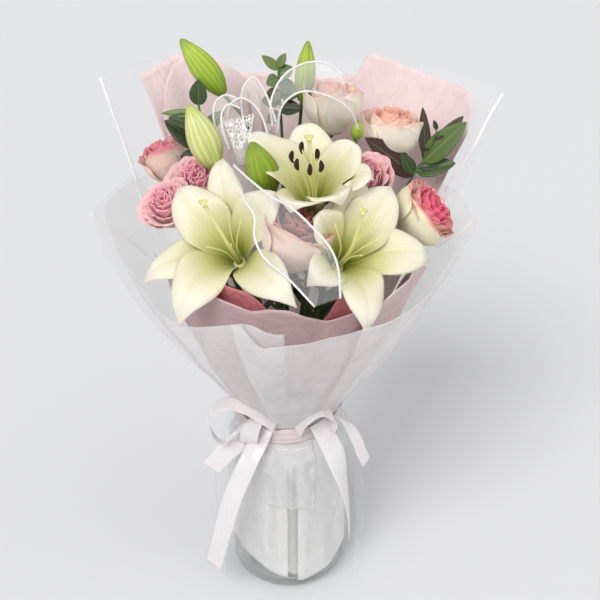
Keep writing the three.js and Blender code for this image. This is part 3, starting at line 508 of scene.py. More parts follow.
BUDS = {
    "top": dict(base=(-59, 30, 562), tip=(-98, 30, 616), radius=12.5, look="bud"),
    "left": dict(base=(-66, -22, 508), tip=(-88, -22, 570), radius=15, look="bud_pale"),
    "middle": dict(base=(-15, -34, 487), tip=(-30, -52, 546), radius=15, look="bud_dark"),
    "back": dict(base=(15, 60, 545), tip=(21, 60, 606), radius=10, look="bud"),
    "small": dict(base=(67, 16, 522), tip=(69, 16, 542), radius=6, look="bud"),
}

ROSES = {
    "left": dict(at=(-108, 22, 476), facing=(-0.45, 0.05, 0.9), radius=21, height=44, open=False,
                 look="rose_cream"),
    "inner_left": dict(at=(-79, -10, 474), facing=(-0.15, -0.5, 0.85), radius=23, height=40, open=True,
                       look="rose_pink", flare=0.3),
    "lower_left": dict(at=(-101, -31, 461), facing=(-0.35, -0.5, 0.8), radius=21, height=40, open=True,
                       look="rose_pink", flare=0.3),
    "top": dict(at=(43, 48, 518), facing=(0.05, 0.05, 1), radius=28, height=50, open=False, look="rose_peach"),
    "top_right": dict(at=(101, 48, 490), facing=(0.1, 0.05, 1), radius=29, height=50, open=False,
                      look="rose_peach"),
    "inner_right": dict(at=(75, -3, 470), facing=(-0.1, -0.5, 0.86), radius=27, height=42, open=True,
                        look="rose_pink", flare=0.2),
    "right": dict(at=(112, -22, 445), facing=(0.7, -0.15, 0.65), radius=31, height=48, open=True,
                  look="rose_two_colour"),
    "middle": dict(at=(1, -85, 438), facing=(0.32, -0.02, 1), radius=32, height=58, open=True,
                   look="rose_dark_heart"),
}

GUARD_PETALS = 5
ROSE_SLOT = {"rose_dark_heart": "rose_peach"}


def tepal_shape(tepal, outer, seed):
    """One lily tepal: out of the throat along the funnel, then bent outwards, with a waved, rolled edge."""
    turn, reach, rise, width, roll = tepal
    draw = random.Random(seed)
    phase, waves = draw.uniform(0, 6.28), draw.uniform(1.7, 2.4)
    twist = draw.uniform(-0.14, 0.14)
    bend = draw.uniform(-5, 5)

    def shape(v, t):
        s = 1 - t
        x = s**3 * THROAT_R + 3 * s * s * t * 21 + 3 * s * t * t * 53 + t**3 * 74
        y = 3 * s * s * t * 42 + 3 * s * t * t * 54 + t**3 * 48
        step = 3 * 4 * t * s if outer else 0
        r = x + (reach - 74) * t * t + 0.8 * step
        z = y + (rise - 48) * t**3 + 3 * roll * s * t * t - 0.6 * step
        # broad beyond the middle, and drawn out to a point
        half = 0.52 * width * max(0.03, math.sin(math.pi * min(t**1.05, 1)) ** mix(0.8, 1.15, t))
        angle = math.radians(turn + bend * smooth(t, 0.4, 1)) + half * v / r
        cup = mix(0.16, -0.1, t) * half * v * v - 0.2 * half * v**4 * smooth(t, 0.3, 0.8)
        ripple = (1.6 if outer else 2.8) * abs(v) ** 2.5 * math.sin(math.pi * min(1, t * 1.02)) ** 1.2
        cup += ripple * math.sin(waves * 6.28 * t + phase + (1.9 if v > 0 else 0))
        cup -= 1.3 * math.exp(-((v / 0.13) ** 2)) * (1 - 0.7 * t) * min(1, 5 * t)
        cup += twist * half * v * smooth(t, 0.2, 0.9)
        curl = -(8 if outer else 6) * smooth(t, 0.78, 1) ** 1.5
        return (r * math.cos(angle), r * math.sin(angle), z + cup + curl)

    return shape


def lily(where, at, facing, lean, anthers, filaments, tepals):
    matrix = placed(at, facing)
    bm = new_mesh()
    for k, tepal in enumerate(tepals):
        shape = tepal_shape(tepal, k % 2 == 1, f"lily {where} {k}")
        surface(bm, 18, 34, lambda v, t: matrix @ Vector(shape(v, t)))
    finished(bm, f"lily_{where}_tepals", LOOKS["tepal"], "lily_tepal", [f"lily_{where}"], PETAL)
    bm = new_mesh()
    foot = Route([matrix @ Vector((0, 0, z)) for z in (-6, -2, 3)])
    tube(bm, foot, lambda t: 0.8 + mix(3.4, 5.2, t), 16, 4)
    finished(bm, f"lily_{where}_throat", LOOKS["pistil"], "lily_tepal", closed=True)

    bm = new_mesh()
    pistil = Route([matrix @ Vector(p) for p in ((0, 0, 3.5), (0, 0, 0.45 * PISTIL_L), (*lean, PISTIL_L))])
    tube(bm, pistil, lambda t: mix(2.1, 1.5, t) + 1.8 * smooth(t, 0.93, 1), 12, 26)
    knob = pistil.at(1)
    for lobe in range(3):
        away = math.radians(120 * lobe + 30)
        out = matrix.to_3x3() @ Vector((math.cos(away), math.sin(away), 0))
        top = Route([knob - pistil.ahead(1) * 1.5, knob + out * 2.2, knob + out * 3.8 - pistil.ahead(1) * 0.8])
        tube(bm, top, lambda t: 2.1 - 0.5 * t, 8, 5)
    pods = new_mesh()
    for turn, spread in filaments:
        c, s = math.cos(math.radians(turn)), math.sin(math.radians(turn))
        tip = Vector((spread * c + 0.5 * lean[0], spread * s + 0.5 * lean[1], FILAMENT_L))
        middle = Vector((0.3 * tip.x + c, 0.3 * tip.y + s, 33))
        thread = Route([matrix @ p for p in (Vector((2.4 * c, 2.4 * s, 3.5)), middle, tip)])
        tube(bm, thread, lambda t: mix(1.0, 0.6, t), 7, 14)
        if anthers:
            hang = ((-c, -s, -7), (0.8 * c, 0.8 * s, 0), (-0.5 * c, -0.5 * s, 7))
            pod = Route([matrix @ (tip + Vector(p)) for p in hang])
            tube(pods, pod, lambda t: 0.5 + 1.9 * math.sin(math.pi * t) ** 0.6, 10, 12)
    slot = "lily_heart_dark" if anthers else "lily_heart"
    finished(bm, f"lily_{where}_pistil", LOOKS["pistil"], slot, [f"lily_{where}_heart"], closed=True)
    if anthers:
        finished(pods, f"lily_{where}_anthers", LOOKS["anther"], slot, closed=True)
    else:
        pods.free()


def bud(where, base, tip, radius, look):
    """A closed lily bud: three broad ribs and three grooves, drawn together at the tip."""
    base, tip = Vector(base), Vector(tip)
    matrix = placed(base, tip - base)
    length = (tip - base).length

    def shape(v, t):
        swell = math.sin(math.pi * (0.05 + 0.92 * t) ** 0.86) ** 0.85 if 0.001 < t < 0.999 else 0.0
        turn = math.pi * v
        groove = math.exp(-((((turn * 3 / math.pi) % 2 - 1) / 0.2) ** 2))
        ridge = math.exp(-((((turn * 3 / math.pi + 1) % 2 - 1) / 0.3) ** 2))
        r = radius * swell * (1 + (0.09 * ridge - 0.13 * groove) * smooth(t, 0.0, 0.25))
        return matrix @ Vector((r * math.cos(turn), r * math.sin(turn), t * length))

    bm = new_mesh()
    made = surface(bm, 72, 34, shape)
    bmesh.ops.remove_doubles(bm, verts=made, dist=MERGE * MM)
    finished(bm, f"bud_{where}_closed", LOOKS[look], "lily_bud", [f"bud_{where}"], closed=True)


def rose_petal(k, count, radius, height, opened, flare, draw):
    """The kth petal of a rose, from the tight heart outwards, each turned by the golden angle.

    The last few are broad, smooth guard petals that cup the bloom, and flare is how far their rims roll out.
    """
    guard = k >= count - GUARD_PETALS
    s = min(1.0, k / (count - GUARD_PETALS))
    phase = GOLDEN_ANGLE * k
    size = mix(0.12, 0.9, s**0.85) if opened else mix(0.16, 0.88, s**0.7)
    half = mix(100, 50, s**0.6)
    roll = (0.26 if opened else 0.12) * smooth(s, 0.35, 1) + draw.uniform(-0.03, 0.03)
    tall = (0.94 if opened else 1.0) * (1 - 0.06 * s) * draw.uniform(0.96, 1.03)
    ruffle = (0.055 if opened else 0.025) * draw.uniform(0.6, 1.3)
    narrowing = 0.0 if opened else 0.16
    if guard:
        size = 0.97 + 0.02 * (k - count + GUARD_PETALS)
        half = draw.uniform(58, 66)
        roll = flare + draw.uniform(-0.05, 0.05)
        tall = (0.84 if opened else 0.92) * draw.uniform(0.94, 1.04)
        ruffle = 0.03
        narrowing = 0.2 * (1 - flare / 0.36)
    waves = draw.uniform(1.6, 3.4)
    shift = draw.uniform(0, 6.28)
    peak = draw.uniform(0.02, 0.07) if guard else 0.0

    def shape(v, t):
        belly = mix(0.42, 1, math.sin(min(1, 1.45 * t) * math.pi / 2)) - narrowing * smooth(t, 0.5, 1)
        lip = smooth(t, 0.62, 1)
        round_end = math.sqrt(max(0.0, 1 - (max(0.0, t - 0.7) / 0.3) ** 2 * 0.66))
        spread = mix(0.75, 1, math.sin(math.pi * min(1, 0.15 + 0.7 * t))) * round_end
        angle = math.radians(phase + half * v * spread)
        wave = ruffle * lip * math.sin(waves * 3.14 * v + shift)
        r = radius * (size * belly * (1 + roll * lip) + wave) + 1.8 * v * min(1, 2 * t) * size
        droop = 0.5 * roll * smooth(t, 0.82, 1) * (1 - 0.4 * v * v)
        rise = height * tall * (t - 0.07 * t * v * v - droop + 0.5 * wave + peak * t**6 * (1 - abs(v)))
        return Vector((r * math.cos(angle), r * math.sin(angle), 1 + rise))

    return shape, k / (count - 1)


def rose(where, at, facing, radius, height, open, look, flare=0.14):
    matrix = placed(at, facing)
    draw = random.Random("rose " + where)
    count = 31 if open else 19
    bm = new_mesh()
    for k in range(count):
        shape, share = rose_petal(k, count, radius, height, open, flare, draw)
        surface(bm, 14, 12, lambda v, t: matrix @ shape(v, t), share)
    slot = ROSE_SLOT.get(look, look)
    finished(bm, f"rose_{where}_petals", LOOKS[look], slot, [f"rose_{where}"], PETAL)
    # the green cup under the petals
    bm = new_mesh()
    cup = Route([matrix @ Vector((0, 0, z)) for z in (-1.0, 1.5, 6)])
    tube(bm, cup, lambda t: radius * mix(0.14, 0.42, smooth(t, 0, 1)), 20, 6)
    finished(bm, f"rose_{where}_cup", LOOKS["stem"], "stem", closed=True)


for where, shape in LILIES.items():
    lily(where, **shape)
for where, shape in BUDS.items():
    bud(where, **shape)
for where, shape in ROSES.items():
    rose(where, **shape)


# ---- stems and leaves ----
def cell_centre(cell):
    column, row = cell
    return STEM_PITCH * (column + row / 2), STEM_PITCH * row * math.sin(math.radians(60))


def stem_route(cell, end, heading, beyond=()):
    """A stem stands on the vase's floor, passes the tie in its cell and ends under its bloom."""
    x, y = cell_centre(cell)
    c, s = math.cos(math.radians(STEM_TWIST)), math.sin(math.radians(STEM_TWIST))
    foot = (STEM_SPREAD * (c * x - s * y), STEM_SPREAD * (s * x + c * y), STEM_FOOT_Z)
    tip = Vector(end)
    below = tip - Vector(heading).normalized() * 28
    halfway = Vector((x, y, BIND_Z)).lerp(tip, 0.5).lerp(below, 0.12)
    return Route([foot, (x, y, BIND_Z - 14), (x, y, BIND_Z + 14), halfway, below, tip, *beyond])


def under(bloom, by):
    return Vector(bloom["at"]) - Vector(bloom["facing"]).normalized() * by


def shoots_to(forks):
    shoots = []
    for name, fork in forks.items():
        base, tip = Vector(BUDS[name]["base"]), Vector(BUDS[name]["tip"])
        down = (base - tip).normalized()
        shoots.append((fork, [base + down * 34, base + down * GAP]))
    return shoots


def stem(name, cell, end, heading, shoots=(), hip=0.0):
    route = stem_route(cell, end, heading)
    bm = new_mesh()
    tube(bm, route, lambda t: mix(STEM_R, 2.1, smooth(t, 0.5, 0.9)) + hip * smooth(t, 0.95, 1), 12, 60)
    for fork, points in shoots:
        tube(bm, Route([route.at(fork), *points]), lambda t: 1.7 + 0.5 * smooth(t, 0.85, 1), 10, 22)
    finished(bm, f"{name}_green", LOOKS["stem"], "stem", [name], closed=True)
    return route


def leaf_shape(base, tip, width, face):
    spine = tip - base
    side = spine.cross(face).normalized()
    up = side.cross(spine).normalized()

    def shape(v, t):
        half = 0.5 * width * max(0.03, math.sin(math.pi * min(t**0.8, 1)) ** 0.7)
        droop = -0.12 * spine.length * t * t
        fold = 0.16 * half * abs(v) - 0.4 * math.exp(-((v / 0.12) ** 2))
        return base + spine * t + side * (half * v) + up * (droop + fold)

    return shape


LEAVES_PER_STEM = 15


def lily_leaves(where, route):
    """Narrow leaves round the upper part of a lily's stem, inside the bunch."""
    draw = random.Random("leaves " + where)
    bm = new_mesh()
    for k in range(LEAVES_PER_STEM):
        base = route.at(mix(0.46, 0.84, k / LEAVES_PER_STEM))
        turn = math.radians(GOLDEN_ANGLE * k + draw.uniform(-15, 15))
        out = Vector((math.cos(turn), math.sin(turn), 0))
        tip = base + out * draw.uniform(26, 40) + Vector((0, 0, draw.uniform(22, 40)))
        surface(bm, 4, 10, leaf_shape(base, tip, draw.uniform(8, 12), Vector((0, 0, 1))), 0.5)
    finished(bm, f"lily_{where}_leaves", LOOKS["foliage"], "stem", thickness=PETAL)


LILY_STEMS = {
    "left": ((0, -2), {"left": 0.62}),
    "middle": ((1, -1), {"middle": 0.62, "small": 0.7}),
    "right": ((2, -2), {}),
}
ROSE_CELLS = {
    "left": (-2, 1), "inner_left": (-1, 0), "lower_left": (-1, -1), "top": (0, 1),
    "top_right": (1, 1), "inner_right": (1, 0), "right": (2, -1), "middle": (1, -2),
}
for where, (cell, forks) in LILY_STEMS.items():
    bloom = LILIES[where]
    route = stem(f"lily_{where}_stem", cell, under(bloom, 6 + GAP), bloom["facing"], shoots_to(forks))
    lily_leaves(where, route)
stem("lily_bud_stem", (0, 0), (-14, 26, 470), (-0.1, 0.1, 1), shoots_to({"top": 0.7, "back": 0.75}))
for where, cell in ROSE_CELLS.items():
    bloom = ROSES[where]
    stem(f"rose_{where}_stem", cell, under(bloom, GAP), bloom["facing"], hip=3)

# A leaf is its place along the spray, the way its tip points from there, its width, and its colour from
# 0, sage green, through green and dark green to 1, red-brown.
SPRAYS = {
    "left": dict(
        face=(-0.1, -0.7, 0.7), cell=(-1, 1), route=[(-62, 8, 470), (-76, 2, 525), (-82, 10, 560)],
        leaves=[(0.98, (0, 2, 24), 17, 0.62), (0.86, (-36, -2, 4), 9, 0.25), (0.7, (-30, -4, 12), 17, 0.6),
                (0.62, (18, 8, 20), 14, 0.5), (0.46, (-38, 2, 26), 26, 0.72), (0.4, (-20, -2, 34), 20, 0.8),
                (0.36, (-30, 4, 0), 18, 0.66)],
    ),
    "top": dict(
        face=(0, -0.8, 0.6), cell=(-1, 2), route=[(-4, 56, 490), (-6, 58, 540), (-8, 60, 580)],
        leaves=[(1, (7, 2, 13), 9, 0.25), (0.97, (-15, 0, 14), 10, 0.2), (0.9, (14, 0, 8), 15, 0.4),
                (0.86, (-12, -4, -4), 14, 0.45), (0.8, (17, -2, -8), 16, 0.5), (0.72, (-13, -4, -12), 15, 0.55),
                (0.64, (22, -4, 8), 15, 0.6), (0.58, (-18, -4, 2), 15, 0.6), (0.5, (20, -8, 2), 16, 0.7),
                (0.44, (-14, -4, -8), 14, 0.7)],
    ),
    "right": dict(
        face=(0, -0.7, 0.7), cell=(2, 0), route=[(112, 26, 450), (126, 28, 480), (150, 34, 512)],
        leaves=[(0.7, (36, -6, 44), 25, 0.42), (0.95, (24, 4, 30), 13, 0.8), (0.75, (-4, 8, 50), 12, 0.86),
                (0.56, (36, -8, 14), 20, 0.56), (0.62, (26, -2, 10), 13, 0.7), (0.5, (-12, -4, 24), 15, 0.62),
                (0.5, (-45, -16, 46), 26, 1.0)],
        # a short twig with three tiny leaves stands up from this spray
        shoot=[(138, 30, 500), (144, 30, 516), (146, 28, 528)],
        shoot_leaves=[(0.98, (-3, 0, 10), 5, 0.75), (0.6, (10, 0, 3), 3, 0.8), (0.2, (-7, 0, 2), 3, 0.85)],
    ),
}

def spray(where, face, cell, route, leaves, shoot=(), shoot_leaves=()):
    twig = Route(route)
    heading = Vector(route[1]) - Vector(route[0])
    bm = new_mesh()
    whole = stem_route(cell, route[0], heading, route[1:])
    tube(bm, whole, lambda t: mix(STEM_R, 1.1, smooth(t, 0.5, 0.9)), 10, 60)
    grown = [(twig, *leaf) for leaf in leaves]
    if shoot:
        branch = Route(shoot)
        tube(bm, branch, lambda t: 0.6, 6, 10)
        grown += [(branch, *leaf) for leaf in shoot_leaves]
    finished(bm, f"eucalyptus_{where}_twig", LOOKS["stem"], "eucalyptus", [f"eucalyptus_{where}"], closed=True)
    bm = new_mesh()
    for branch, t, reach, width, share in grown:
        base = branch.at(t)
        surface(bm, 8, 14, leaf_shape(base, base + Vector(reach), width, Vector(face)), share)
    finished(bm, f"eucalyptus_{where}_leaves", LOOKS["leaf"], "eucalyptus", thickness=PETAL)


for where, shape in SPRAYS.items():
    spray(where, **shape)

# ---- wrapping sheets ----
KNEE_Z = 360.0
FUNNEL_Z = [NECK_Z, KNEE_Z, 570.0]
FUNNEL_SIDE = [NECK_R, 121.0, 198.0]
FUNNEL_BACK = [NECK_R, 94.0, 131.0]
FUNNEL_FRONT = [NECK_R, 132.0, 214.0]
SKIRT_Z = [3.0, 90.0, 150.0, VASE_H - 4, VASE_H + 7]  # the rows of a skirt, from its hem up
SKIRT_FLARE = [1.0, 1.05, 0.9, 0.35, 0.05]  # the share of its flare at each row


def funnel_radius(angle, z):
    """All the sheets follow one funnel round the stems, softened at its knee."""
    s = math.sin(math.radians(angle))
    fore_and_aft = FUNNEL_BACK if s > 0 else FUNNEL_FRONT
    total = 0.0
    for dz in (-24.0, 0.0, 24.0):
        low = max(z + dz, NECK_Z)
        total += mix(between(FUNNEL_Z, FUNNEL_SIDE, low), between(FUNNEL_Z, fore_and_aft, low), s * s)
    return total / 3


def pleats(angle, z):
    """Folds gathered at the neck and opening upwards, the same in every sheet, so that none cross."""
    a = math.radians(angle)
    gathers = 1.6 * math.sin(24 * a + 1.6 * math.sin(5 * a)) * (1 - 0.65 * smooth(z, 300, 420))
    wide = 1.7 * math.sin(9 * a + 0.9 + 0.006 * z) + 1.0 * math.sin(15 * a + 2.2 - 0.008 * z)
    crease = 3.2 * noise.noise(Vector((4 * math.cos(a), 4 * math.sin(a) + 0.012 * z, 0.024 * z)))
    return smooth(z, NECK_Z, 300) * (gathers + wide * smooth(z, 270, 400) + crease)


def wall_radius(angle, z, level, lean):
    """A sheet above the neck: its level is its place among the layers, and lean draws it in or out."""
    h = smooth(z, NECK_Z, 460)
    return funnel_radius(angle, z) + level * (1 + 2.2 * h) + lean * h


def sheet_shape(level, start, to, rim, lean=0.0, skirt=None, flare=0.0, hem=None, curl=0.0, tuck=(0.0, 0.0)):
    """A sheet from its lower end, or from its hem over the vase, up to its rim: shape(v, t).

    rim and hem are (angle, height) tables, and skirt is the radius of the part that hangs over the vase.
    tuck is how many degrees the two side edges of that part are drawn in.
    """
    rim_at, rim_z = zip(*rim)
    hem_at, hem_z = zip(*hem) if hem else ((start, to), (SKIRT_Z[0], SKIRT_Z[0]))
    paths = {}

    def path(angle):
        """The sheet's (radius, height) points at this angle, and the way along them to each."""
        if angle not in paths:
            points = []
            if skirt:
                rows = [between(hem_at, hem_z, min(max(angle, start), to)), *SKIRT_Z[1:]]
                points += [(skirt + part * flare, z) for z, part in zip(rows, SKIRT_FLARE)]
            points += [(NECK_R + level, BAND_LOW_Z), (NECK_R + level, NECK_Z)]
            near = [between(rim_at, rim_z, min(max(angle + d, start), to)) for d in (-1.5, 0, 1.5)]
            top = sum(near) / 3
            for k in range(1, 7):
                z = mix(NECK_Z, top, k / 6)
                points.append((wall_radius(angle, z, level, lean), z))
            run = [0.0]
            for (r0, z0), (r1, z1) in zip(points, points[1:]):
                run.append(run[-1] + math.hypot(r1 - r0, z1 - z0))
            paths[angle] = [p[0] for p in points], [p[1] for p in points], run
        return paths[angle]

    def shape(v, t):
        angle = round(mix(start, to, (v + 1) / 2), 3)
        radii, heights, run = path(angle)
        r = z = 0.0
        for back in (-6.0, 0.0, 6.0):
            along = min(max(t * run[-1] + back, 0.0), run[-1])
            r += between(run, radii, along) / 3
            z += between(run, heights, along) / 3
        drawn = mix(tuck[0], -tuck[1], (v + 1) / 2) * smooth(BIND_Z - z, 0, 70)
        a = math.radians(angle + drawn)
        if z > NECK_Z:
            r += pleats(angle, z)
        elif skirt and z < VASE_H:
            r += (0.35 + 0.16 * flare) * (1 + math.sin(13 * a + 0.02 * z)) * smooth(VASE_H - z, 5, 120)
        r += curl * smooth(t, 0.86, 1) ** 2
        return (r * math.cos(a), r * math.sin(a), z)

    return shape


FILM = dict(level=6, lean=10)
SHEETS = {
    "tissue_right": dict(look="tissue", slot="tissue", parts=[
        dict(level=1.2, start=13.5, to=75, curl=3,
             rim=[(13.5, 516), (15, 530), (18, 555), (35, 560), (48, 570), (58.5, 576), (61, 545), (75, 536)]),
    ]),
    "tissue_left": dict(look="tissue", slot="tissue", parts=[
        dict(level=1.2, lean=-30, start=105, to=153.5, curl=3,
             rim=[(105, 540), (115, 563), (122, 573), (128, 582), (137, 583), (146, 576), (153.5, 569)]),
        dict(level=0.4, lean=-32, start=112, to=152, curl=2,
             rim=[(112, 545), (122, 566), (130, 580), (137, 581), (143, 572), (148, 556), (150.5, 538),
                  (152, 510)]),
    ]),
    "tissue_middle": dict(look="tissue", slot="tissue", parts=[
        dict(level=2.4, start=60, to=135,
             rim=[(55, 552), (75, 551), (93, 554), (121, 551), (142, 530)]),
    ]),
    "tissue_front": dict(look="tissue_deep", slot="tissue", parts=[
        dict(level=2.4, lean=-24, start=206, to=345, curl=2,
             rim=[(206, 440), (222, 440), (236, 439), (248, 430), (258, 424), (264, 430), (272, 430),
                  (277, 421), (285, 408), (292, 410), (298, 413), (305, 405), (318, 402), (331, 408),
                  (345, 436)]),
    ]),
    "frost_left": dict(look="frost", slot="frosted_film", parts=[
        dict(level=3.6, lean=6, start=202, to=270, skirt=VASE_R + 1.5, flare=1.5,
             hem=[(202, 58), (212, 57), (222, 53), (232, 47), (240, 42), (250, 36), (262, 29), (270, 26)],
             rim=[(202, 444), (206, 437), (212, 424), (222, 410), (232, 406), (240, 409), (250, 420),
                  (259, 432), (262, 430), (266, 420), (270, 421)]),
    ]),
    "frost_right": dict(look="frost", slot="frosted_film", parts=[
        dict(level=4.8, lean=8, start=255, to=336, skirt=VASE_R + 2.8, flare=1.5, tuck=(24, 0),
             hem=[(255, 24), (262, 23), (276, 25), (300, 32), (322, 43), (336, 53)],
             rim=[(255, 428), (257.5, 438), (260, 425), (262, 402), (274, 411), (285, 413), (296, 417),
                  (306, 421), (316, 428), (325, 444), (333, 468), (336, 467)]),
    ]),
    "film": dict(look="film", slot="clear_film", parts=[
        dict(**FILM, start=14, to=154,
             rim=[(14, 556), (20, 561), (60, 562), (90, 562), (130, 566), (150, 566), (154, 560)]),
        dict(**FILM, start=-30, to=210, skirt=VASE_R + 4.3, flare=14,
             rim=[(-30, 410), (-15, 425), (-3, 441), (3, 454), (20, 457), (60, 450), (120, 450),
                  (156, 462), (185, 459), (200, 445), (210, 425)]),
    ]),
}
# Sheets that the imported model leaves out. The frosted ones are thin and hardly seen where they turn back
# round the sides of the bunch. A doubled piece of the front tissue stands out above it in two points,
# coloured deeper pink as painted shade, and a lighter piece closes the front on the right.
MORE_SHEETS = {
    "frost_left_side": dict(look="frost_side", slot="frosted_film", parts=[
        dict(level=3.6, lean=6, start=135, to=202, skirt=VASE_R + 1.5, flare=1.5,
             hem=[(135, 30), (202, 58)],
             rim=[(135, 452), (156, 462), (170, 466), (185, 460), (196, 450), (202, 444)]),
    ]),
    "frost_thin_side": dict(look="frost_thin", slot="frosted_film", parts=[
        dict(level=3.0, start=260, to=288, skirt=VASE_R + 0.8, flare=1.3,
             hem=[(260, 33), (288, 30)], rim=[(260, 300), (288, 300)]),
    ]),
    "frost_right_side": dict(look="frost_side", slot="frosted_film", parts=[
        dict(level=4.8, lean=8, start=336, to=390, skirt=VASE_R + 2.8, flare=1.5,
             hem=[(336, 53), (390, 30)],
             rim=[(336, 467), (345, 464), (359, 459), (378, 459), (390, 452)]),
    ]),
    "tissue_inner": dict(look="tissue_shade", slot="tissue", parts=[
        dict(level=1.0, lean=-27, start=238, to=304,
             rim=[(238, 424), (243, 446), (250, 442), (257, 440), (263, 425), (268, 404), (286, 400),
                  (290, 424), (293, 437), (298, 432), (304, 404)]),
    ]),
    "tissue_side": dict(look="tissue", slot="tissue", parts=[
        dict(level=3.0, lean=-14, start=300, to=352, curl=1.5,
             rim=[(300, 412), (306, 428), (312, 434), (318, 437), (325, 436), (331, 432), (338, 424),
                  (345, 413), (352, 403)]),
    ]),
}
SHEET_STEP = 1.5  # degrees from one column of a sheet to the next
ROW_STEP = 7.0  # millimetres from one of its rows to the next

# The white stripes printed along the film's cut edges, as (angle, height) lines.
STRIPES = [
    [(153.2, 559), (153.2, 500), (153.2, 425)],
    [(15, 555), (18, 500), (21, 447)],
    [(185, 458), (176, 424), (166, 387)],
    [(-2, 446), (4, 422), (11, 399)],
]
STRIPE_WIDTH = 4.5


def laid_flat(shape, cells=40):
    """Cloth doesn't stretch, so its cut is its size along its surface: width, length and area in metres."""
    spots = [[Vector(shape(2 * i / cells - 1, k / cells)) * MM for i in range(cells + 1)]
             for k in range(cells + 1)]
    width = max(sum((b - a).length for a, b in zip(row, row[1:])) for row in spots)
    length = max(sum((b - a).length for a, b in zip(line, line[1:])) for line in zip(*spots))
    area = 0.0
    for low, high in zip(spots, spots[1:]):
        for a, b, c, d in zip(low, low[1:], high[1:], high):
            area += 0.5 * (c - a).cross(d - b).length
    return width, length, min(area, width * length)


def wrap(name, look, slot, parts, replaced):
    bm = new_mesh()
    cuts = []
    for part in parts:
        shape = sheet_shape(**part)
        cuts.append(laid_flat(shape))
        surface(bm, round((part["to"] - part["start"]) / SHEET_STEP), round(cuts[-1][1] / MM / ROW_STEP), shape)
    piece = finished(bm, f"{name}_sheet", LOOKS[look], slot, replaced, CLOTH)


def stripes():
    bm = new_mesh()
    for line in STRIPES:
        angles, heights = zip(*line)

        def shape(v, t):
            along = t * (len(angles) - 1)
            angle = between(range(len(angles)), angles, along)
            z = between(range(len(angles)), heights, along)
            r = wall_radius(angle, z, **FILM) + pleats(angle, z) + 0.6
            a = math.radians(angle) + 0.5 * v * STRIPE_WIDTH / r
            return (r * math.cos(a), r * math.sin(a), z)

        surface(bm, 2, 30, shape)
    finished(bm, "film_stripes", LOOKS["stripe"], "clear_film", thickness=CLOTH)


FLAP_START, FLAP_END = 246, 297  # degrees
FLAP_TOP, FLAP_FOOT = 211.0, 134.0
# the radius of what it lies on, at heights down the vase's shoulder
FLAP_Z = [130.0, 186.0, 197.0, 206.0, 214.0]
FLAP_R = [70.5, 70.0, 69.0, 60.0, 58.0]


def flap():
    """A short crumpled end of the film, which hangs from the band over the front of the vase."""
    def shape(v, t):
        z = mix(FLAP_TOP, FLAP_FOOT - 4 * v, t)
        crumple = noise.noise(Vector((2.2 * v, 2.4 * t, 1.7)), noise_basis="VORONOI_F1")
        ridge = math.exp(-((v - 0.1) / 0.09) ** 2)
        r = between(FLAP_Z, FLAP_R, z) + smooth(t, 0.1, 0.35) * (3.4 * crumple + 2.4 * ridge)
        a = math.radians(mix(FLAP_START, FLAP_END, (v + 1) / 2) - 3 * t * v)
        return (r * math.cos(a), r * math.sin(a), z)

    bm = new_mesh()
    surface(bm, 30, 30, shape)
    piece = finished(bm, "film_flap", LOOKS["crumpled"], "clear_film", thickness=CLOTH)
    flat = laid_flat(shape)


flap()
for name, shape in SHEETS.items():
    wrap(name, **shape, replaced=[name])
for name, shape in MORE_SHEETS.items():
    wrap(name, **shape, replaced=())
stripes()

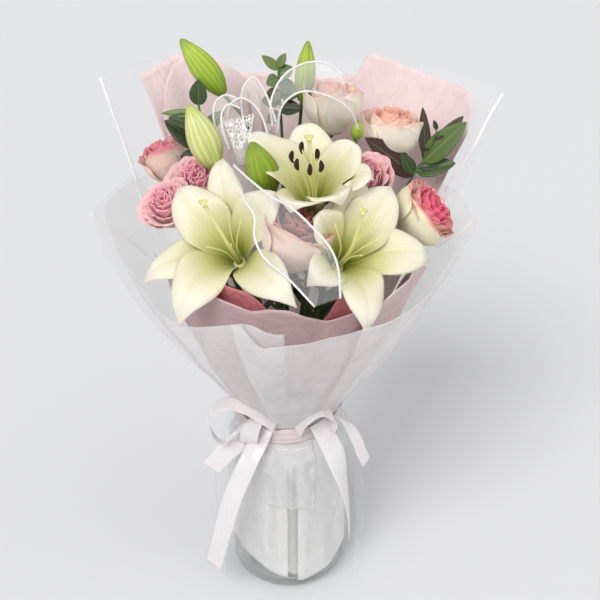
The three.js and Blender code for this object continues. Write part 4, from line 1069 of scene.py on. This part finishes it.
# ---- ribbons ----
RIBBONS = {
    "satin_loop": dict(
        width=22,
        route=[(-10, -60, 240), (-26, -64, 256), (-42, -67, 268), (-58, -67, 271), (-72, -67, 266),
               (-80, -66, 252), (-79, -65, 234), (-69, -64, 219), (-54, -59, 219), (-40, -49, 221)],
        across=[(0.4, -0.2, -0.8), (0.2, -0.5, -0.7), (0.1, -0.9, -0.3), (0, -1, 0), (0, -1, 0.1),
                (0.2, -1, 0.1), (0.2, -1, 0.1), (0.2, -0.9, 0.3), (0.3, -0.4, 0.9), (0, 0, 1)],
    ),
    "satin_tail_left": dict(
        width=21,
        route=[(-24, -56, 232), (-31, -63, 217), (-43, -76, 196), (-58, -85, 161), (-71, -83, 110),
               (-84, -74, 52)],
        across=[(1, -0.25, 0), (1, -0.25, 0.2), (1, -0.2, 0.3), (1, -0.3, 0.2), (0.9, -0.5, 0.2),
                (0.8, -0.6, 0)],
    ),
    "satin_tail_short": dict(
        width=22,
        route=[(-38, -48, 224), (-52, -58, 214), (-67, -66, 203), (-81, -70, 188)],
        across=[(0.5, -0.3, -0.8), (0.5, -0.3, -0.8), (0.6, -0.2, -0.8), (0.6, -0.1, -0.8)],
    ),
    "satin_tail_right": dict(
        width=23,
        route=[(33, -54, 238), (42, -60, 221), (51, -66, 201), (60, -70, 168), (66, -70, 128), (68, -68, 96)],
        across=[(1, 0.5, 0.3), (1, 0.4, 0.4), (0.8, 0.6, 0.4), (0.3, 0.9, 0.1), (0.12, 1, 0), (0.1, 1, 0)],
    ),
    "satin_tail_far": dict(
        width=14,
        route=[(46, -44, 240), (60, -52, 236), (72, -57, 219), (79, -58, 200), (85, -55, 184)],
        across=[(0.3, 0.5, -0.8), (0.5, 0.7, -0.5), (0.7, 0.7, 0.1), (0.7, 0.7, 0.2), (0.6, 0.8, 0.2)],
    ),
    "satin_puff": dict(
        width=20, stands_for=(),
        route=[(8, -58, 230), (18, -66, 252), (34, -68, 262), (48, -62, 250), (44, -53, 230)],
        across=[(0.2, -0.4, -0.9), (0.3, -0.8, -0.5), (0.2, -1, 0), (0.3, -0.9, -0.3), (0.3, -0.4, -0.8)],
    ),
    "satin_knot": dict(
        width=20, stands_for=(),
        route=[(-30, -56, 247), (-36, -65, 240), (-40, -67, 227), (-41, -60, 213)],
        across=[(0.9, -0.4, 0.4), (0.9, -0.4, 0.3), (0.9, -0.4, 0.2), (0.9, -0.4, 0.2)],
    ),
    "organza_strip": dict(
        edges=([(-50, -45, 518), (-42, -74, 514), (-35, -96, 509), (-26, -112, 501), (-26, -122, 487),
                (-18, -132, 472), (3, -141, 456), (26, -148, 432)],
               [(-47, -45, 521), (-31, -74, 519), (-11, -100, 514), (6, -118, 512), (25, -130, 498),
                (40, -138, 482), (46, -144, 466), (48, -149, 441)]),
    ),
    "organza_loop_tall": dict(
        edges=([(-13, 8, 539), (-14, 20, 560), (-2, 30, 581), (19, 34, 592), (39, 32, 592), (54, 26, 582)],
               [(-8, 0, 535), (-3, -4, 563), (14, -6, 577), (40, -4, 572), (60, 0, 557), (68, 6, 537)]),
    ),
    "organza_loop_left": dict(
        edges=([(-38, 0, 538), (-42, 12, 560), (-39, 22, 574), (-31, 28, 580), (-23, 26, 572), (-15, 18, 557),
                (-9, 6, 543)],
               [(-49, -10, 530), (-54, -6, 552), (-51, -2, 564), (-41, 0, 569), (-30, 0, 563), (-22, -4, 552),
                (-17, -8, 537)]),
    ),
    "organza_loop_low": dict(
        edges=([(-60, -14, 531), (-67, -6, 552), (-65, 2, 565), (-56, 6, 570), (-46, 4, 568)],
               [(-52, -20, 526), (-58, -20, 547), (-58, -16, 561), (-52, -12, 567), (-42, -10, 563)]),
    ),
    "lace": dict(
        edges=([(-44, -26, 512), (-48, -24, 527), (-53, -18, 540), (-60, -12, 551)],
               [(-34, -26, 512), (-33, -22, 529), (-31, -16, 544), (-29, -8, 557)]),
    ),
}


def ribbon_shape(ripple, width=0.0, route=None, across=None, edges=None):
    """A ribbon of one width along its route, or one that is drawn up between its two edges: shape(v, t)."""
    if edges:
        left, right = Route(edges[0]), Route(edges[1])

        def shape(v, t):
            sag = Vector((0, -5, -3)) * (1 - v * v) * math.sin(math.pi * t)
            return left.at(t).lerp(right.at(t), (v + 1) / 2) + sag

        return shape
    line, spread = Route(route), Route(across)

    def shape(v, t):
        ahead = line.ahead(t)
        side = spread.at(t)
        side -= ahead * ahead.dot(side)
        side.normalize()
        out = ahead.cross(side)
        wave = ripple * math.sin(9 * t + 2.1 * v) * math.sin(math.pi * min(1, 3 * t))
        return line.at(t) + side * (0.5 * width * v) + out * wave

    return shape


UNLIKE_ORGANZA = {"lace": "lace", "organza_strip": "organza_fine"}


def ribbon(name, stands_for=None, **cut):
    satin = name.startswith("satin")
    shape = ribbon_shape(1.6 if satin else 0.8, **cut)
    flat = laid_flat(shape)
    length = flat[1] / MM
    look = "satin" if satin else UNLIKE_ORGANZA.get(name, "organza")
    bm = new_mesh()
    surface(bm, 12, round(length / 3), shape)
    replaced = [name] if stands_for is None else stands_for
    piece = finished(bm, f"{name}_woven", LOOKS[look], "satin" if satin else "organza", replaced, CLOTH)
    if not satin and look != "lace":
        bm = new_mesh()
        for edge in (-1, 1):
            selvage = Route([shape(edge, k / 24) for k in range(25)])
            tube(bm, selvage, lambda t: 1.05 + 0.15 * math.sin(t * length * 1.6), 8, round(length / 1.2))
        finished(bm, f"{name}_cords", LOOKS["cord"], "organza", closed=True)


for name, shape in RIBBONS.items():
    ribbon(name, **shape)


BAND_START, BAND_TURN = 97.5, 363  # degrees: it laps over itself a little
BAND_R, BAND_Z = 58.2, 221
BAND_HALF = 9  # half of its width


def satin_band():
    """The ribbon wound round the neck, with creases along it."""
    bm = new_mesh()

    def shape(v, t):
        a = math.radians(BAND_START + BAND_TURN * t)
        crease = 0.5 * math.sin(9 * v + 3 * math.sin(3 * a)) + 0.35 * math.sin(17 * v + 7 * math.sin(2 * a))
        r = BAND_R + crease + 1.2 * (1 - v * v)
        z = BAND_Z + BAND_HALF * v + 1.5 * math.sin(4 * a)
        return (r * math.cos(a), r * math.sin(a), z)

    surface(bm, 16, 120, shape)
    piece = finished(bm, "satin_band_wound", LOOKS["satin_creased"], "satin", ["satin_band"], CLOTH)


satin_band()


# ---- vase and tie ----
def lathe(bm, profile, segments):
    """Spins a line of (radius, height) points once round the upright axis."""
    made = [bm.verts.new((r * MM, 0, z * MM)) for r, z in profile]
    edges = [bm.edges.new(pair) for pair in zip(made, made[1:])]
    bmesh.ops.spin(bm, geom=made + edges, axis=(0, 0, 1), cent=(0, 0, 0), steps=segments,
                   angle=2 * math.pi, use_merge=True)
    bmesh.ops.remove_doubles(bm, verts=bm.verts, dist=MERGE * MM)
    for face in bm.faces:
        face.smooth = True


def arc(x, z, r, start, to, steps):
    turns = [math.radians(mix(start, to, k / steps)) for k in range(steps + 1)]
    return [(x + r * math.cos(turn), z + r * math.sin(turn)) for turn in turns]


def vase():
    inner = VASE_R - VASE_WALL
    turn = VASE_EDGE_R - VASE_WALL
    bm = new_mesh()
    lathe(bm, [
        (0, 0),
        *arc(VASE_FOOT_R, VASE_EDGE_R, VASE_EDGE_R, -90, 0, 14),
        *arc(VASE_R - VASE_WALL / 2, VASE_H - VASE_WALL / 2, VASE_WALL / 2, 0, 180, 8),
        *arc(inner - turn, VASE_FLOOR + turn, turn, 0, -90, 14),
        (0, VASE_FLOOR),
    ], 96)
    finished(bm, "vase_blown", LOOKS["glass"], "vase_glass", ["vase"], closed=True)


TIE_R = 19.4
TWINE_R = 1.1
TWINE_PITCH = 2.25
TWINE_RINGS = 6


def twine():
    """The tie, drawn as closed rings of twine side by side."""
    bm = new_mesh()
    turns = [2 * math.pi * k / 48 for k in range(49)]
    for ring in range(TWINE_RINGS):
        z = BIND_Z - 5.6 + TWINE_PITCH * ring
        loop = Route([(TIE_R * math.cos(a), TIE_R * math.sin(a), z) for a in turns])
        tube(bm, loop, lambda t: TWINE_R, 8, 96)
    finished(bm, "tie_wound", LOOKS["twine"], "twine", ["tie"], closed=True)


vase()
twine()


# ---- studio ----
FLOOR_HALF = 4000  # half its width and length
FLOOR_NEAR = 3000  # how far it reaches towards the viewer


def floor():
    bm = new_mesh()
    surface(bm, 4, 4, lambda v, t: (FLOOR_HALF * v, 2 * FLOOR_HALF * t - FLOOR_NEAR, 0))
    mesh = bpy.data.meshes.new("floor")
    bm.to_mesh(mesh)
    bm.free()
    piece = bpy.data.objects.new("floor", mesh)
    bpy.context.scene.collection.objects.link(piece)
    made, _, shader = material("matt paper backdrop")
    set_on(shader, Base_Color=colour(0xE3E3E4), Roughness=0.9)
    mesh.materials.append(made)


def sky_lamp(name, towards, spread, power):
    """A broad soft light from far away, like a large window: it is as bright on the far floor as near by."""
    lamp = bpy.data.lights.new(name, "SUN")
    lamp.angle = math.radians(spread)
    lamp.energy = power
    holder = bpy.data.objects.new(name, lamp)
    bpy.context.scene.collection.objects.link(holder)
    holder.rotation_euler = Vector(towards).to_track_quat("Z", "Y").to_euler()


floor()
sky_lamp("key", (-0.45, -0.9, 1.0), 32, 1.95)
sky_lamp("fill", (0.9, -0.7, 0.8), 70, 0.62)

world = bpy.data.worlds.new("studio")
bpy.context.scene.world = world
world.use_nodes = True
world.node_tree.nodes["Background"].inputs["Color"].default_value = colour(0xF6F7F9)
world.node_tree.nodes["Background"].inputs["Strength"].default_value = 0.52
bpy.context.scene.view_settings.view_transform = "Standard"
bpy.context.scene.cycles.transparent_max_bounces = 32

camera = bpy.data.cameras.new("camera")
camera.sensor_width = SENSOR
camera.lens = SENSOR * FOCAL_PIXELS / IMAGE_SIDE
viewer = bpy.data.objects.new("camera", camera)
bpy.context.scene.collection.objects.link(viewer)
viewer.location = Vector(CAMERA_AT) * MM
viewer.rotation_euler = (math.radians(90 - CAMERA_PITCH), 0, 0)
bpy.context.scene.camera = viewer
